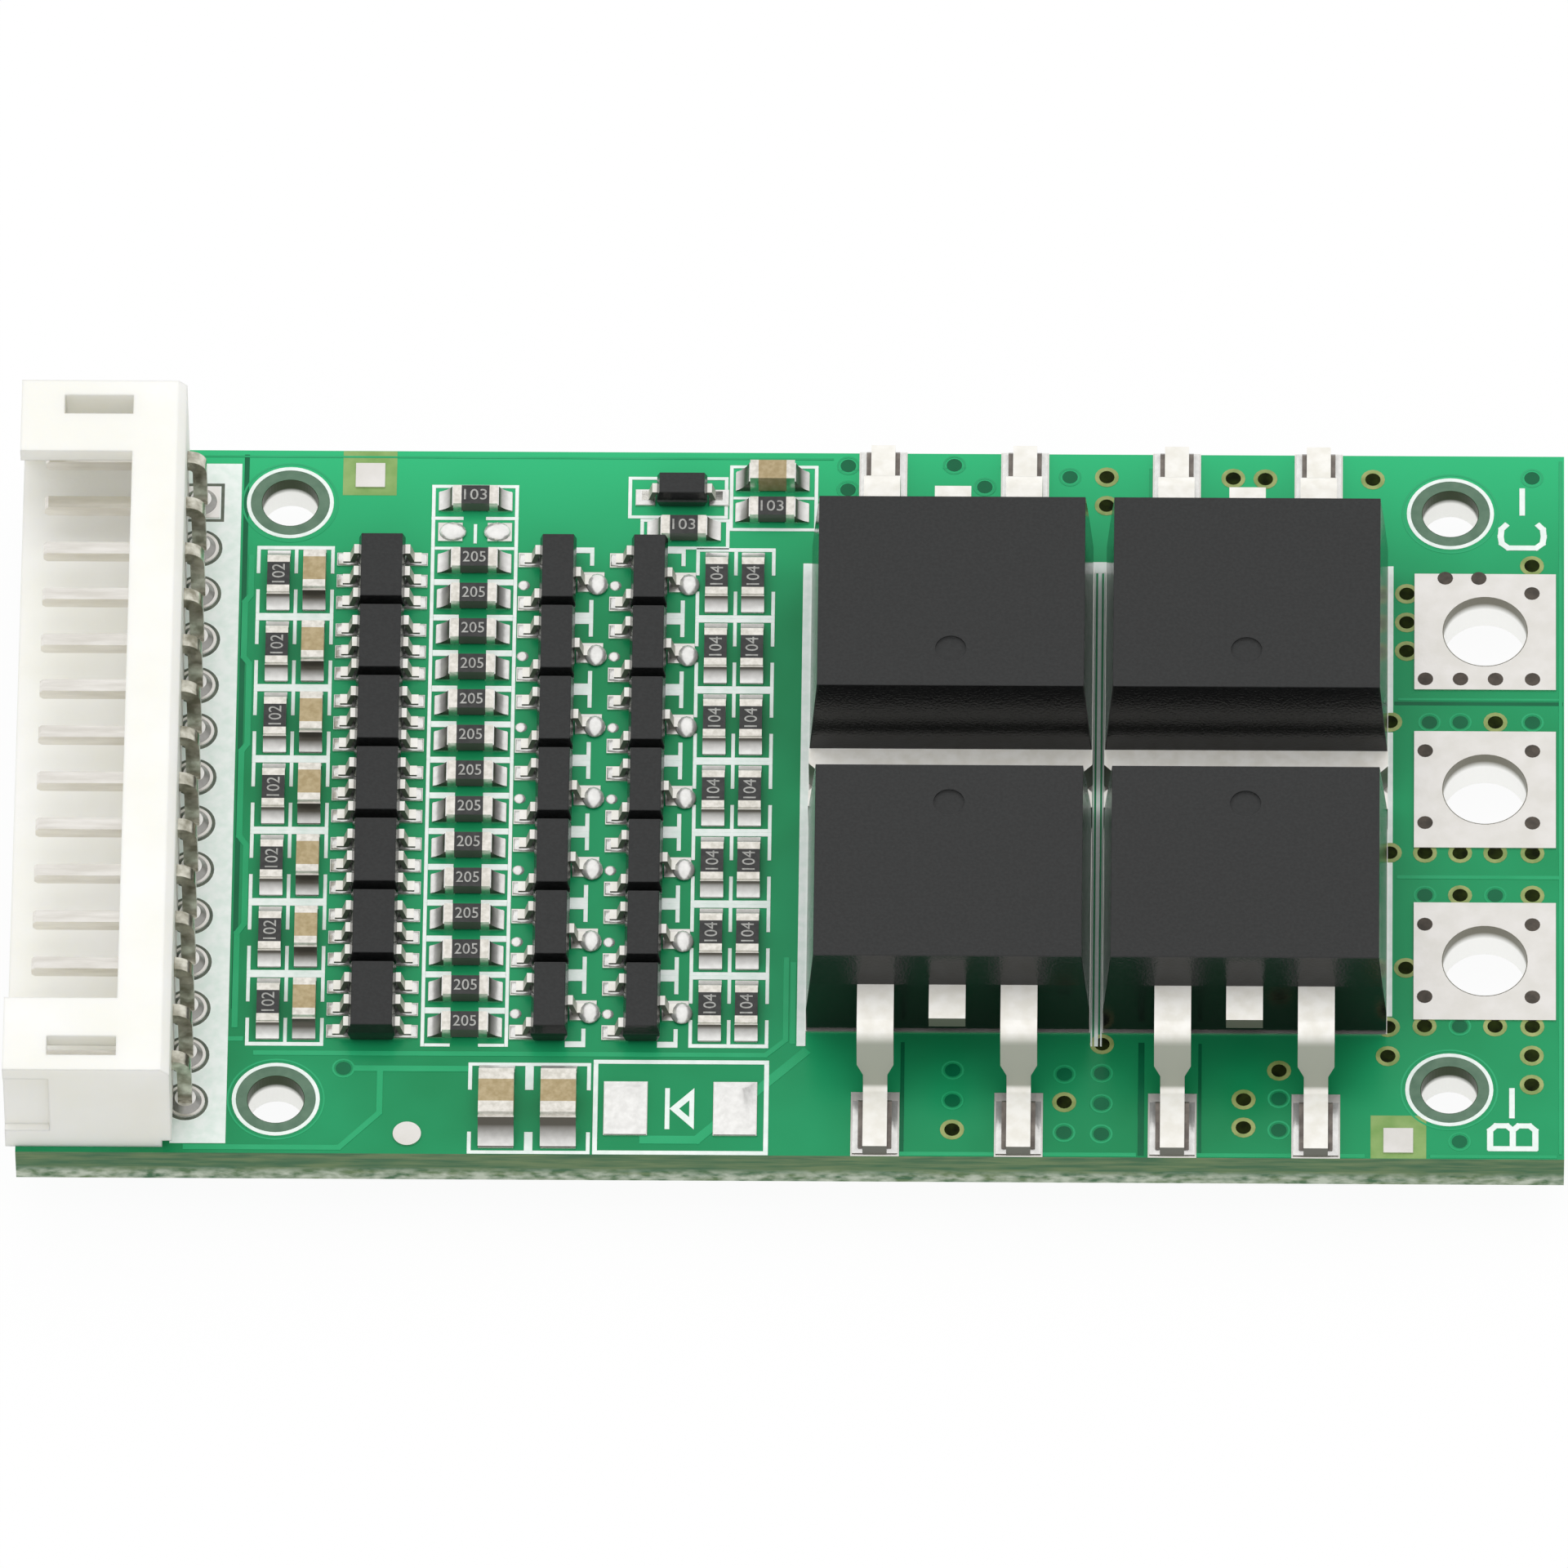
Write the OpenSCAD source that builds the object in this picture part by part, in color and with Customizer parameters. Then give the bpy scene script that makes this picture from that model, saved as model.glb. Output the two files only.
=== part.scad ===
// Battery management board: a seven-channel protection board with a side-entry
// cell header, four power transistors and three plated bolt-down terminals.
// Origin: midway between the two screw holes behind the cell header, on the board's
// underside. +X towards the terminals, +Y towards the back edge, +Z up through the
// component side.

/* [Board] */
// Width of the board, from the header end to the terminal end
board_w = 54.8; // [53.4:0.1:70]
// Depth of the board, from front edge to back edge
board_d = 30.5; // [30.3:0.1:45]
// Thickness of the laminate
board_t = 1.6; // [0.8:0.1:2.4]
// Thickness of the tinned copper lands
land_t = 0.07; // [0.03:0.01:0.15]

/* [Mounting holes] */
// Diameter of the unplated mounting holes
mount_hole_d = 2.05; // [1.6:0.05:2.4]
// Distance of the left pair from the left edge
mount_left_in = 9.18; // [8.6:0.01:9.4]
// Distance of the right pair from the right edge
mount_right_in = 4.07; // [3.6:0.01:4.6]
// Spacing of the left pair along Y
mount_left_pitch = 25.9; // [25:0.1:27]
// Spacing of the right pair along Y
mount_right_pitch = 25; // [24.6:0.1:26]

/* [Terminals] */
// Side of each square terminal land
terminal_side = 5.05; // [4.4:0.05:5.3]
// Diameter of the plated terminal holes
terminal_hole_d = 3.05; // [2.2:0.05:3.6]
// Distance of the terminal centres from the right edge
terminal_in = 2.82; // [2.8:0.01:3]
// Spacing of the terminals along Y
terminal_pitch = 7.15; // [6.2:0.05:7.3]
// How far the middle terminal stands behind the middle of the outer two
terminal_mid_off = 0.28; // [-0.3:0.02:0.3]

/* [Cell header] */
// Number of contacts
ways = 14; // [4:1:14]
// Spacing of the contacts
header_pitch = 2; // [1.9:0.05:2]
// Length of housing beyond the outer contacts, at each end
header_end = 1.95; // [1.9:0.05:2.2]
// Depth of the housing, from its mouth to its back
header_depth = 5.9; // [5.4:0.1:6.4]
// Height of the housing
header_h = 4.8; // [4.6:0.1:6]
// Overhang of the mouth beyond the board's left edge
header_overhang = 0.35; // [0:0.05:1]
// Thickness of the end walls
header_wall = 0.8; // [0.6:0.05:0.85]
// Thickness of the floor
header_floor = 1; // [0.6:0.05:1.2]
// Thickness of the roof
header_roof = 0.6; // [0.4:0.05:0.8]
// Thickness of the back wall, which holds the contacts
header_back = 1.9; // [1.4:0.1:2.4]
// Length of roof left at each end of the window
window_end = 3.1; // [2.8:0.1:4]
// Length of the latch slots in the roof, along X
slot_l = 2.45; // [1.5:0.05:3]
// Width of the latch slots, along Y
slot_w = 0.8; // [0.5:0.05:1]
// Side of the square contact wire
pin_w = 0.5; // [0.4:0.05:0.6]
// Height of the contacts above the board
pin_h = 2.6; // [2.2:0.1:3]
// Distance of the contact tips behind the mouth
pin_set_in = 0.85; // [0.4:0.05:1.5]
// Straight run of the contacts behind the housing, before the bend
pin_run = 0.03; // [0:0.01:0.2]
// Inner radius of the bend in each contact
pin_bend = 0.15; // [0.05:0.01:0.3]
// Length of the contact tails below the board
pin_tail = 1.8; // [1:0.1:2.5]
// Diameter of the contact holes, inside the plating
pin_hole_d = 0.8; // [0.75:0.01:0.9]
// Wall of the plated barrels round the contacts
plating_t = 0.06; // [0.03:0.01:0.12]
// Diameter of the contact lands
pin_land_d = 1.36; // [1.2:0.02:1.5]

/* [Power transistors] */
// Spacing of the two columns along X
fet_pitch = 10.52; // [10.4:0.02:11]
// Distance of the columns' middle from the right edge
fet_mid_in = 16.59; // [16.4:0.01:16.7]
// Place of the line between the two rows along Y
fet_mid_y = 0.15; // [-0.2:0.01:0.4]
// Width of the moulding at its foot
fet_w = 10.05; // [9.6:0.05:10.1]
// Length of the moulding
fet_l = 8.85; // [8.6:0.05:9.2]
// Height of the moulding
fet_h = 4.55; // [4:0.05:4.8]
// Thickness of the drain tab
tab_t = 1.27; // [1.1:0.01:1.4]
// Length of tab that stands out of the moulding
tab_out = 0.95; // [0.8:0.05:1.4]
// Gap between the tabs of the two rows
tab_gap = 0.6; // [0.2:0.05:0.8]
// Width of the tab outside the moulding
tab_w = 10.1; // [9.8:0.05:10.2]
// Chamfer on the outer corners of the tab
tab_chamfer = 0.3; // [0.1:0.05:0.8]
// Thickness of the leads
fet_lead_t = 0.5; // [0.4:0.02:0.6]
// Width of the leads where they leave the moulding
fet_lead_w = 1.3; // [1.1:0.05:1.5]
// Width of the leads at the foot
fet_foot_w = 0.86; // [0.7:0.02:1]
// Height of the leads where they leave the moulding
fet_lead_z = 2.45; // [2.1:0.05:2.6]
// Spacing from the middle lead to the outer leads
fet_lead_pitch = 2.54; // [2.4:0.02:2.6]
// Straight run of the leads outside the moulding
fet_lead_run = 1.5; // [1.4:0.02:2]
// Length of the cut middle lead
fet_stub = 1.45; // [1:0.05:1.6]
// Slope of the leads down to the board
fet_lead_slope = 74; // [60:1:86]
// Length of the leads' flat feet, before they are trimmed at the board's edge
fet_foot_l = 2.3; // [1.6:0.05:2.4]
// Distance of the trimmed toes from the board's edge
fet_toe_in = 0.04; // [0.02:0.01:0.3]

/* [Channel rows] */
// Number of cell channels
channels = 7; // [3:1:7]
// Spacing of the channels along Y
channel_pitch = 3.1; // [3.02:0.02:3.14]
// Middle of the rows along Y
channel_mid_y = 0.2; // [0:0.05:0.4]

/* [Small packages] */
// Length of the small transistors and monitors
sot_l = 2.9; // [2.6:0.02:2.96]
// Width of the three-lead transistors
sot3_w = 1.3; // [1.2:0.02:1.4]
// Width of the six-lead monitors
sot6_w = 1.66; // [1.5:0.02:1.8]
// Height of the moulded packages above their lands
sot_h = 1.05; // [0.9:0.05:1.3]
// Distance over the feet of the three-lead transistors
sot3_span = 2.42; // [2.3:0.02:2.6]
// Distance over the feet of the six-lead monitors
sot6_span = 2.8; // [2.7:0.02:3]
// Spacing of the monitors' leads, half that of the transistors' pair
sot_lead_pitch = 0.95; // [0.9:0.01:1]
// Width of the leads
sot_lead_w = 0.4; // [0.3:0.02:0.5]
// Thickness of the leads
sot_lead_t = 0.14; // [0.1:0.01:0.2]
// Length of the flat feet
sot_foot = 0.32; // [0.2:0.02:0.36]

/* [Chip parts] */
// Length of the small chip parts
chip_l = 1.6; // [1.5:0.02:1.7]
// Width of the small chip parts
chip_w = 0.8; // [0.7:0.02:0.9]
// Height of the chip resistors
resistor_h = 0.45; // [0.35:0.05:0.6]
// Height of the filter capacitors
filter_h = 0.8; // [0.6:0.05:0.9]
// Length of the bulk capacitors
bulk_l = 1.86; // [1.8:0.02:2.1]
// Width of the bulk capacitors
bulk_w = 1.25; // [1.1:0.05:1.4]
// Height of the bulk capacitors
bulk_h = 1.05; // [0.8:0.05:1.4]
// Length of each metal end of the bulk capacitors
bulk_end = 0.46; // [0.3:0.02:0.5]
// Length of each metal end of the small chip parts
chip_end = 0.3; // [0.2:0.02:0.4]
// Length of land beyond the small chips' ends
chip_heel = 0.52; // [0.4:0.02:0.55]
// Length of land beyond the bulk capacitors' ends
bulk_heel = 0.84; // [0.5:0.02:0.9]

/* [Clamp diode] */
// Length of the moulding along X
diode_l = 1.8; // [1.6:0.05:2]
// Width of the moulding along Y
diode_w = 1.05; // [1:0.05:1.35]
// Height over the lands
diode_h = 0.95; // [0.8:0.05:1.1]
// Distance over the two feet
diode_span = 2.9; // [2.8:0.02:3.1]
// Width of the leads
diode_lead_w = 0.4; // [0.3:0.05:0.6]

/* [Hidden] */
$fn = 48;
CUT = 0.1;            // how far a cutter runs past the face that it opens

// Colours
mask_green = [0.12, 0.55, 0.36];
tinned = [0.86, 0.85, 0.82];
moulding = [0.16, 0.16, 0.17];
nylon = [0.95, 0.94, 0.90];
copper_core = [0.70, 0.70, 0.68];
film_black = [0.10, 0.10, 0.11];
ceramic_tan = [0.74, 0.60, 0.40];

// Columns of small parts, counted from the board's left edge
left_x = -board_w / 2;
input_x = left_x + 8.83;       // resistors next to the header
filter_x = left_x + 10.12;     // capacitors beside them
monitor_x = left_x + 12.53;    // six-lead monitors
shifter_r_x = left_x + 15.82;  // two resistors for each channel
shifter_a_x = left_x + 18.83;  // first transistor of each channel
shifter_b_x = left_x + 22.1;   // second transistor of each channel
gate_x = left_x + 25.15;       // middle of the pair of gate resistors
gate_gap = 1.3;                // between the two gate resistors

// Single parts along the back edge and the front edge
lone_shifter_y = 13;  // resistor above the shifter column
bare_pair_y = 11.67;  // empty footprint under it
diode_at = [left_x + 23.22, 13.22];
diode_r_at = [left_x + 23.3, 11.74];
supply_c_at = [left_x + 26.45, 13.93];
supply_r_at = [left_x + 26.45, 12.57];
bulk_x = [left_x + 17, left_x + 19.2];
bulk_y = -13.25;
bare_diode_at = [left_x + 23.51, -13.3];
bare_diode_gap = 3.88;  // between the centres of its two lands
bare_diode_land = [1.55, 2.3];
square_mark = 1.05;     // side of the square alignment marks
round_mark_d = 1;
back_mark_at = [left_x + 12.03, 14.15];
front_mark_at = [board_w / 2 - 5.87, -14.5];
round_mark_at = [left_x + 13.85, -14.42];

// Levels: the board's top, and the tops of the lands that the parts stand on
top_z = board_t;
seat_z = top_z + land_t;

// Header
header_l = (ways - 1) * header_pitch + 2 * header_end;
header_y = -0.07;
mouth_x = -board_w / 2 - header_overhang;
header_back_x = mouth_x + header_depth;
leg_x = header_back_x + pin_run + pin_bend + pin_w / 2;
pin_z = top_z + pin_h;
slot_mid = 1.05;        // from the end of the housing to the middle of a slot
groove_depth = 0.3;     // of the guide grooves in the end walls
groove_l = 1.6;
back_chamfer = 0.3;
relief_gap = 0.1;       // air between the housing and the contact lands
relief_h = 0.4;
relief_l = pin_land_d / 2 - (leg_x - header_back_x) + relief_gap;
function way_y(i) = header_y + header_pitch * ((ways - 1) / 2 - i);

// Terminals and mounting holes
terminal_x = board_w / 2 - terminal_in;
terminal_y = 0.37;
function terminal_at(i) = [terminal_x, terminal_y + terminal_pitch * (1 - i) + (i == 1 ? terminal_mid_off : 0)];
mount_left_x = -board_w / 2 + mount_left_in;
mount_right_x = board_w / 2 - mount_right_in;
mount_right_y = 0.21;
datum_x = mount_left_x; // the origin lies midway between the left pair

// Power transistors
fet_mid_x = board_w / 2 - fet_mid_in;
fet_centre = fet_l / 2 + tab_out + tab_gap / 2;
fet_draft = 0.28;       // slope of the sides, over the height above the tab
fet_tab_draft = 0.48;   // slope of the tab side
fet_lead_draft = 0.15;  // slope of the lead side
fet_slug_w = 8.4;       // width of the tab inside the moulding
fet_slug_in = 7.2;      // length of the tab inside the moulding
fet_root = 1.3;         // length of lead inside the moulding
fet_bend = 0.25;        // inner radius of the bends
fet_mark_d = 1.1;       // round ejector mark
fet_mark_in = 1.6;      // from the top's tab edge to the mark
fet_mark_depth = 0.08;
fet_land_w = 1.72;      // width of the foot lands
fet_foot_heel = 0.35;   // land behind the heel of each foot
// x, y and turn of each power transistor; the back row faces away
fet_at = [
  for (row = [1, -1], column = [-1, 1])
    [fet_mid_x + column * fet_pitch / 2, fet_mid_y + row * fet_centre, row > 0 ? 180 : 0]
];
lead_mid_r = fet_bend + fet_lead_t / 2;
lead_drop = fet_lead_z;
lead_straight = (lead_drop - 2 * lead_mid_r * (1 - cos(fet_lead_slope))) / sin(fet_lead_slope);
lead_reach = 2 * lead_mid_r * sin(fet_lead_slope) + lead_straight * cos(fet_lead_slope);
foot_start = fet_l / 2 + fet_lead_run + lead_reach;
// Tip of the feet of the transistor at this place
function foot_end(at) = min(foot_start + fet_foot_l, board_d / 2 - abs(at.y) - fet_toe_in);
neck_low = 0.44;        // the leads narrow between these shares of the drop
neck_high = 0.62;

// Moulded small packages
sot_standoff = 0.06;
sot_draft = 0.1;
sot_land = [0.85, 0.55];
sot3_land = [0.95, 0.62];
sot_land_toe = 0.22;    // land beyond the tip of each foot

// Chips
chip_land_in = 0.35;    // land under each metal end
wedge_share = 0.75;     // height of the solder on a chip's end
blob_h = 0.22;
pin_solder_h = 0.75;    // cone of solder round each contact tail
pin_solder_top = 0.2;

function row_y(i) = channel_mid_y + channel_pitch * ((channels - 1) / 2 - i);
rows = [0 : channels - 1];
// Places of the chip parts: x, y and turn
input_places = [for (i = rows) [input_x, row_y(i), 90]];
gate_places = [for (i = rows, side = [-1, 1]) [gate_x + side * gate_gap / 2, row_y(i), 90]];
shifter_places = concat(
  [[shifter_r_x, lone_shifter_y, 0]],
  [for (i = rows, half = [1, -1]) [shifter_r_x, row_y(i) + half * channel_pitch / 4, 0]]
);
lone_places = [[diode_r_at.x, diode_r_at.y, 0], [supply_r_at.x, supply_r_at.y, 0]];
resistor_places = concat(input_places, gate_places, shifter_places, lone_places);
filter_places = concat(
  [for (i = rows) [filter_x, row_y(i), 90]],
  [[supply_c_at.x, supply_c_at.y, 0]]
);
bulk_places = [for (x = bulk_x) [x, bulk_y, 90]];

// ---------- helpers ----------

// Stands children at [x, y] on the given level, turned about Z
module place(at, z = seat_z) {
  translate([at.x, at.y, z]) rotate([0, 0, is_undef(at[2]) ? 0 : at[2]]) children();
}

// Plate with its middle at the origin and its foot at z = 0
module plate(size, t) {
  translate([-size.x / 2, -size.y / 2, 0]) cube([size.x, size.y, t]);
}

// Extrudes a [y, z] outline along X, centred
module along_x(length) {
  rotate([90, 0, 90]) translate([0, 0, -length / 2]) linear_extrude(length) children();
}

// Extrudes an [x, z] outline along Y, centred
module along_y(length) {
  rotate([90, 0, 0]) translate([0, 0, -length / 2]) linear_extrude(length) children();
}

// Sector of a ring: inner radius, outer radius, and the turn from +X
module ring_sector(inner, outer, turn) {
  far = 3 * outer;
  intersection() {
    difference() {
      circle(outer);
      circle(inner);
    }
    polygon([[0, 0], [far, 0], [far * cos(turn / 2), far * sin(turn / 2)], [far * cos(turn), far * sin(turn)]]);
  }
}

// ---------- board ----------

module mounting_holes() {
  for (side = [-1, 1]) {
    translate([mount_left_x, side * mount_left_pitch / 2, -CUT])
      cylinder(d = mount_hole_d, h = board_t + 2 * CUT);
    translate([mount_right_x, mount_right_y + side * mount_right_pitch / 2, -CUT])
      cylinder(d = mount_hole_d, h = board_t + 2 * CUT);
  }
}

module pcb() {
  color(mask_green) difference() {
    plate([board_w, board_d], board_t);
    mounting_holes();
    for (i = [0 : 2]) place(terminal_at(i), -CUT) cylinder(d = terminal_hole_d, h = board_t + 2 * CUT);
    for (i = [0 : ways - 1])
      translate([leg_x, way_y(i), -CUT]) cylinder(d = pin_hole_d + 2 * plating_t, h = board_t + 2 * CUT);
  }
}

// One bolt-down terminal: a square land on each face, round the same hole
module terminal_land(i) {
  color(tinned) for (z = [-land_t, board_t]) place(terminal_at(i), z) difference() {
    plate([terminal_side, terminal_side], land_t);
    translate([0, 0, -CUT]) cylinder(d = terminal_hole_d, h = land_t + 2 * CUT);
  }
}

// ---------- cell header ----------

// Round lands with plated barrels; the first is square, to mark contact 1
module header_lands() {
  color(tinned) for (i = [0 : ways - 1]) translate([leg_x, way_y(i), -land_t]) difference() {
    union() {
      for (z = [0, board_t + land_t]) translate([0, 0, z])
        if (i == 0) plate([pin_land_d, pin_land_d], land_t);
        else cylinder(d = pin_land_d, h = land_t);
      cylinder(d = pin_hole_d + 2 * plating_t, h = board_t + 2 * land_t);
    }
    translate([0, 0, -CUT]) cylinder(d = pin_hole_d, h = board_t + 2 * (land_t + CUT));
  }
}

// Shroud with an open mouth, a roof window over the contacts, a latch slot at each end
// and a relief under its back edge that clears the contact lands
module header_housing() {
  cavity_h = header_h - header_floor - header_roof;
  cavity_depth = header_depth - header_back;
  window_l = header_l - 2 * window_end;
  color(nylon) translate([mouth_x, header_y, top_z]) difference() {
    along_y(header_l) polygon([
      [0, 0], [header_depth - relief_l, 0], [header_depth - relief_l, relief_h],
      [header_depth, relief_h], [header_depth, header_h - back_chamfer],
      [header_depth - back_chamfer, header_h], [0, header_h]
    ]);
    translate([-CUT, -header_l / 2 + header_wall, header_floor])
      cube([cavity_depth + CUT, header_l - 2 * header_wall, cavity_h]);
    translate([-CUT, -window_l / 2, header_floor])
      cube([cavity_depth + CUT, window_l, header_h]);
    for (side = [-1, 1]) translate([0, side * (header_l / 2 - slot_mid), 0]) {
      translate([cavity_depth - slot_l, -slot_w / 2, header_floor])
        cube([slot_l, slot_w, header_h]);
    }
    for (side = [-1, 1]) translate([0, side * header_l / 2, 0])
      translate([-CUT, -groove_depth, header_floor])
        cube([groove_l + CUT, 2 * groove_depth, cavity_h]);
    for (i = [0 : ways - 1]) translate([0, way_y(i) - header_y - pin_w / 2, pin_h - pin_w / 2])
      cube([header_depth + CUT, pin_w, pin_w]);
  }
}

// Side view of one contact, with its bend centre at the origin
module pin_outline() {
  tip_x = mouth_x + pin_set_in;
  outer = pin_bend + pin_w;
  bend_x = leg_x - pin_w / 2 - pin_bend;
  tail = pin_h - pin_w / 2 - pin_bend + board_t + pin_tail;
  point = pin_w / 4;
  translate([bend_x, 0]) {
    ring_sector(pin_bend, outer, 90);
    polygon([
      [0, pin_bend], [0, outer], [tip_x - bend_x + point, outer],
      [tip_x - bend_x, outer - point], [tip_x - bend_x, pin_bend + point],
      [tip_x - bend_x + point, pin_bend]
    ]);
    polygon([
      [pin_bend, 0], [outer, 0], [outer, point - tail], [outer - point, -tail],
      [pin_bend + point, -tail], [pin_bend, point - tail]
    ]);
  }
}

// Square wire contact: through the back wall, bent down and through the board
module header_pin(i) {
  color(tinned) translate([0, way_y(i), pin_z - pin_w / 2 - pin_bend])
    along_y(pin_w) pin_outline();
}

// Solder that fills each barrel and stands round the tail
module header_solder() {
  color(tinned) for (i = [0 : ways - 1]) translate([leg_x, way_y(i), 0]) difference() {
    union() {
      translate([0, 0, -land_t - pin_solder_h])
        cylinder(d1 = pin_w * 1.5, d2 = pin_land_d * 0.92, h = pin_solder_h);
      translate([0, 0, -land_t]) cylinder(d = pin_hole_d, h = board_t + 2 * land_t);
      translate([0, 0, seat_z]) cylinder(d1 = pin_land_d * 0.85, d2 = pin_w * 1.5, h = pin_solder_top);
    }
    translate([0, 0, -board_t - pin_tail]) plate([pin_w, pin_w], 2 * board_t + 2 * pin_tail);
  }
}

// ---------- power transistors ----------
// Each stands in its own frame: middle of the moulding at x = y = 0, leads towards -Y

module fet_lead_root(width, depth) {
  translate([-width / 2, -fet_l / 2, fet_lead_z]) cube([width, depth, fet_lead_t]);
}

// Copper tab with its slug under the die, and the cut middle lead that rises from it
module fet_drain_solid() {
  slug_end = fet_l / 2 - fet_slug_in;
  riser_y = -fet_l / 2 + fet_root;
  translate([0, fet_l / 2, 0]) linear_extrude(tab_t) polygon([
    [-tab_w / 2, 0], [tab_w / 2, 0], [tab_w / 2, tab_out - tab_chamfer],
    [tab_w / 2 - tab_chamfer, tab_out], [-tab_w / 2 + tab_chamfer, tab_out],
    [-tab_w / 2, tab_out - tab_chamfer]
  ]);
  translate([-fet_slug_w / 2, slug_end, 0]) cube([fet_slug_w, fet_slug_in, tab_t]);
  translate([-fet_lead_w / 2, riser_y, 0]) {
    cube([fet_lead_w, slug_end - riser_y, tab_t]);
    cube([fet_lead_w, fet_lead_t, fet_lead_z + fet_lead_t]);
  }
  fet_lead_root(fet_lead_w, fet_root);
  translate([-fet_lead_w / 2, -fet_l / 2 - fet_stub, fet_lead_z])
    cube([fet_lead_w, fet_stub, fet_lead_t]);
}

module fet_body(at) {
  back = fet_l / 2;
  lead_top = fet_lead_z + fet_lead_t;
  color(moulding) place(at) difference() {
    intersection() {
      along_x(2 * fet_w) polygon([
        [-back + fet_lead_draft / 2, 0], [back, 0], [back, tab_t], [back - fet_tab_draft, fet_h],
        [-back + fet_lead_draft, fet_h], [-back, lead_top], [-back, fet_lead_z]
      ]);
      along_y(2 * fet_l) polygon([
        [-fet_w / 2, 0], [fet_w / 2, 0], [fet_w / 2, tab_t], [fet_w / 2 - fet_draft, fet_h],
        [-fet_w / 2 + fet_draft, fet_h], [-fet_w / 2, tab_t]
      ]);
    }
    fet_drain_solid();
    for (side = [-1, 1]) translate([side * fet_lead_pitch, 0, 0]) fet_lead_root(fet_lead_w, fet_root);
    translate([0, back - fet_tab_draft - fet_mark_in, fet_h - fet_mark_depth])
      cylinder(d = fet_mark_d, h = fet_mark_depth + CUT);
  }
}

module fet_drain_tab(at) {
  color(copper_core) place(at) fet_drain_solid();
}

// Side view of a formed lead, [y, z]: root, run, two bends and the foot
module fet_lead_outline(toe) {
  start = -fet_l / 2 - fet_lead_run;
  outer = fet_bend + fet_lead_t;
  heel = -foot_start;
  translate([start, fet_lead_z]) square([-start - fet_l / 2 + fet_root, fet_lead_t]);
  // upper bend, turning down from the run
  translate([start, fet_lead_z - fet_bend]) rotate(90) ring_sector(fet_bend, outer, fet_lead_slope);
  // lower bend, turning back to the foot
  translate([heel, outer]) rotate(-90) ring_sector(fet_bend, outer, fet_lead_slope);
  // straight stretch between them
  translate([start, fet_lead_z - fet_bend]) rotate(90 + fet_lead_slope)
    translate([fet_bend, 0]) square([fet_lead_t, lead_straight]);
  translate([-toe, 0]) square([toe - foot_start, fet_lead_t]);
}

// Front view that narrows the lead on its way down
module fet_lead_neck() {
  half = fet_lead_w / 2;
  foot = fet_foot_w / 2;
  polygon([
    [-foot, 0], [foot, 0], [foot, neck_low * fet_lead_z], [half, neck_high * fet_lead_z],
    [half, fet_h], [-half, fet_h], [-half, neck_high * fet_lead_z], [-foot, neck_low * fet_lead_z]
  ]);
}

// Gate lead and source lead
module fet_leads(at) {
  color(tinned) place(at) for (side = [-1, 1]) translate([side * fet_lead_pitch, 0, 0])
    intersection() {
      along_x(fet_lead_w) fet_lead_outline(foot_end(at));
      along_y(4 * foot_start) fet_lead_neck();
    }
}

// Drain lands under the tabs, and a land for each foot that runs to the board's edge
module fet_lands() {
  heel = foot_start - fet_foot_heel;
  color(tinned) for (at = fet_at) {
    edge = board_d / 2 - abs(at.y);
    place(at, top_z) {
      translate([0, tab_out / 2, 0]) plate([tab_w, fet_l + tab_out], land_t);
      for (side = [-1, 1]) translate([side * fet_lead_pitch, -(heel + edge) / 2, 0])
        plate([fet_land_w, edge - heel], land_t);
    }
  }
}

// ---------- small moulded packages ----------

// Moulding with drafted sides and a flat belt at the height of the leads
module sot_body(width, length, height) {
  belt = sot_standoff + (height - sot_standoff) * 0.45;
  belt_top = belt + sot_lead_t;
  intersection() {
    along_y(2 * length) polygon([
      [-width / 2 + sot_draft, sot_standoff], [width / 2 - sot_draft, sot_standoff],
      [width / 2, belt], [width / 2, belt_top], [width / 2 - sot_draft, height],
      [-width / 2 + sot_draft, height], [-width / 2, belt_top], [-width / 2, belt]
    ]);
    along_x(2 * width) polygon([
      [-length / 2 + sot_draft, sot_standoff], [length / 2 - sot_draft, sot_standoff],
      [length / 2, belt], [length / 2, belt_top], [length / 2 - sot_draft, height],
      [-length / 2 + sot_draft, height], [-length / 2, belt_top], [-length / 2, belt]
    ]);
  }
}

// Gull-wing lead that leaves a moulding towards +X
module gull_lead(width, span, lead_w, height) {
  belt = sot_standoff + (height - sot_standoff) * 0.45;
  start = width / 2;
  end = span / 2;
  knee = end - sot_foot;
  t = sot_lead_t;
  shoulder = start + t + (knee - start - t) * 0.3;
  along_y(lead_w) polygon([
    [start, belt], [shoulder - t, belt], [knee - t / 2, 0], [end, 0], [end, t],
    [knee + t / 2, t], [shoulder, belt + t], [start, belt + t]
  ]);
}

module cell_monitor(i) {
  color(moulding) place([monitor_x, row_y(i)]) sot_body(sot6_w, sot_l, sot_h);
}

module cell_monitor_leads() {
  color(tinned) for (i = rows, n = [-1 : 1], turn = [0, 180])
    place([monitor_x, row_y(i)]) rotate([0, 0, turn]) translate([0, n * sot_lead_pitch, 0])
      gull_lead(sot6_w, sot6_span, sot_lead_w, sot_h);
}

module shifter_transistors(x) {
  color(moulding) for (i = rows) place([x, row_y(i)]) sot_body(sot3_w, sot_l, sot_h);
}

// Two leads towards the header and one towards the power transistors
module shifter_leads() {
  color(tinned) for (x = [shifter_a_x, shifter_b_x], i = rows) place([x, row_y(i)]) {
    gull_lead(sot3_w, sot3_span, sot_lead_w, sot_h);
    for (n = [-1, 1]) rotate([0, 0, 180]) translate([0, n * sot_lead_pitch, 0])
      gull_lead(sot3_w, sot3_span, sot_lead_w, sot_h);
  }
}

module clamp_diode() {
  color(moulding) place(diode_at) sot_body(diode_l, diode_w, diode_h);
}

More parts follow.
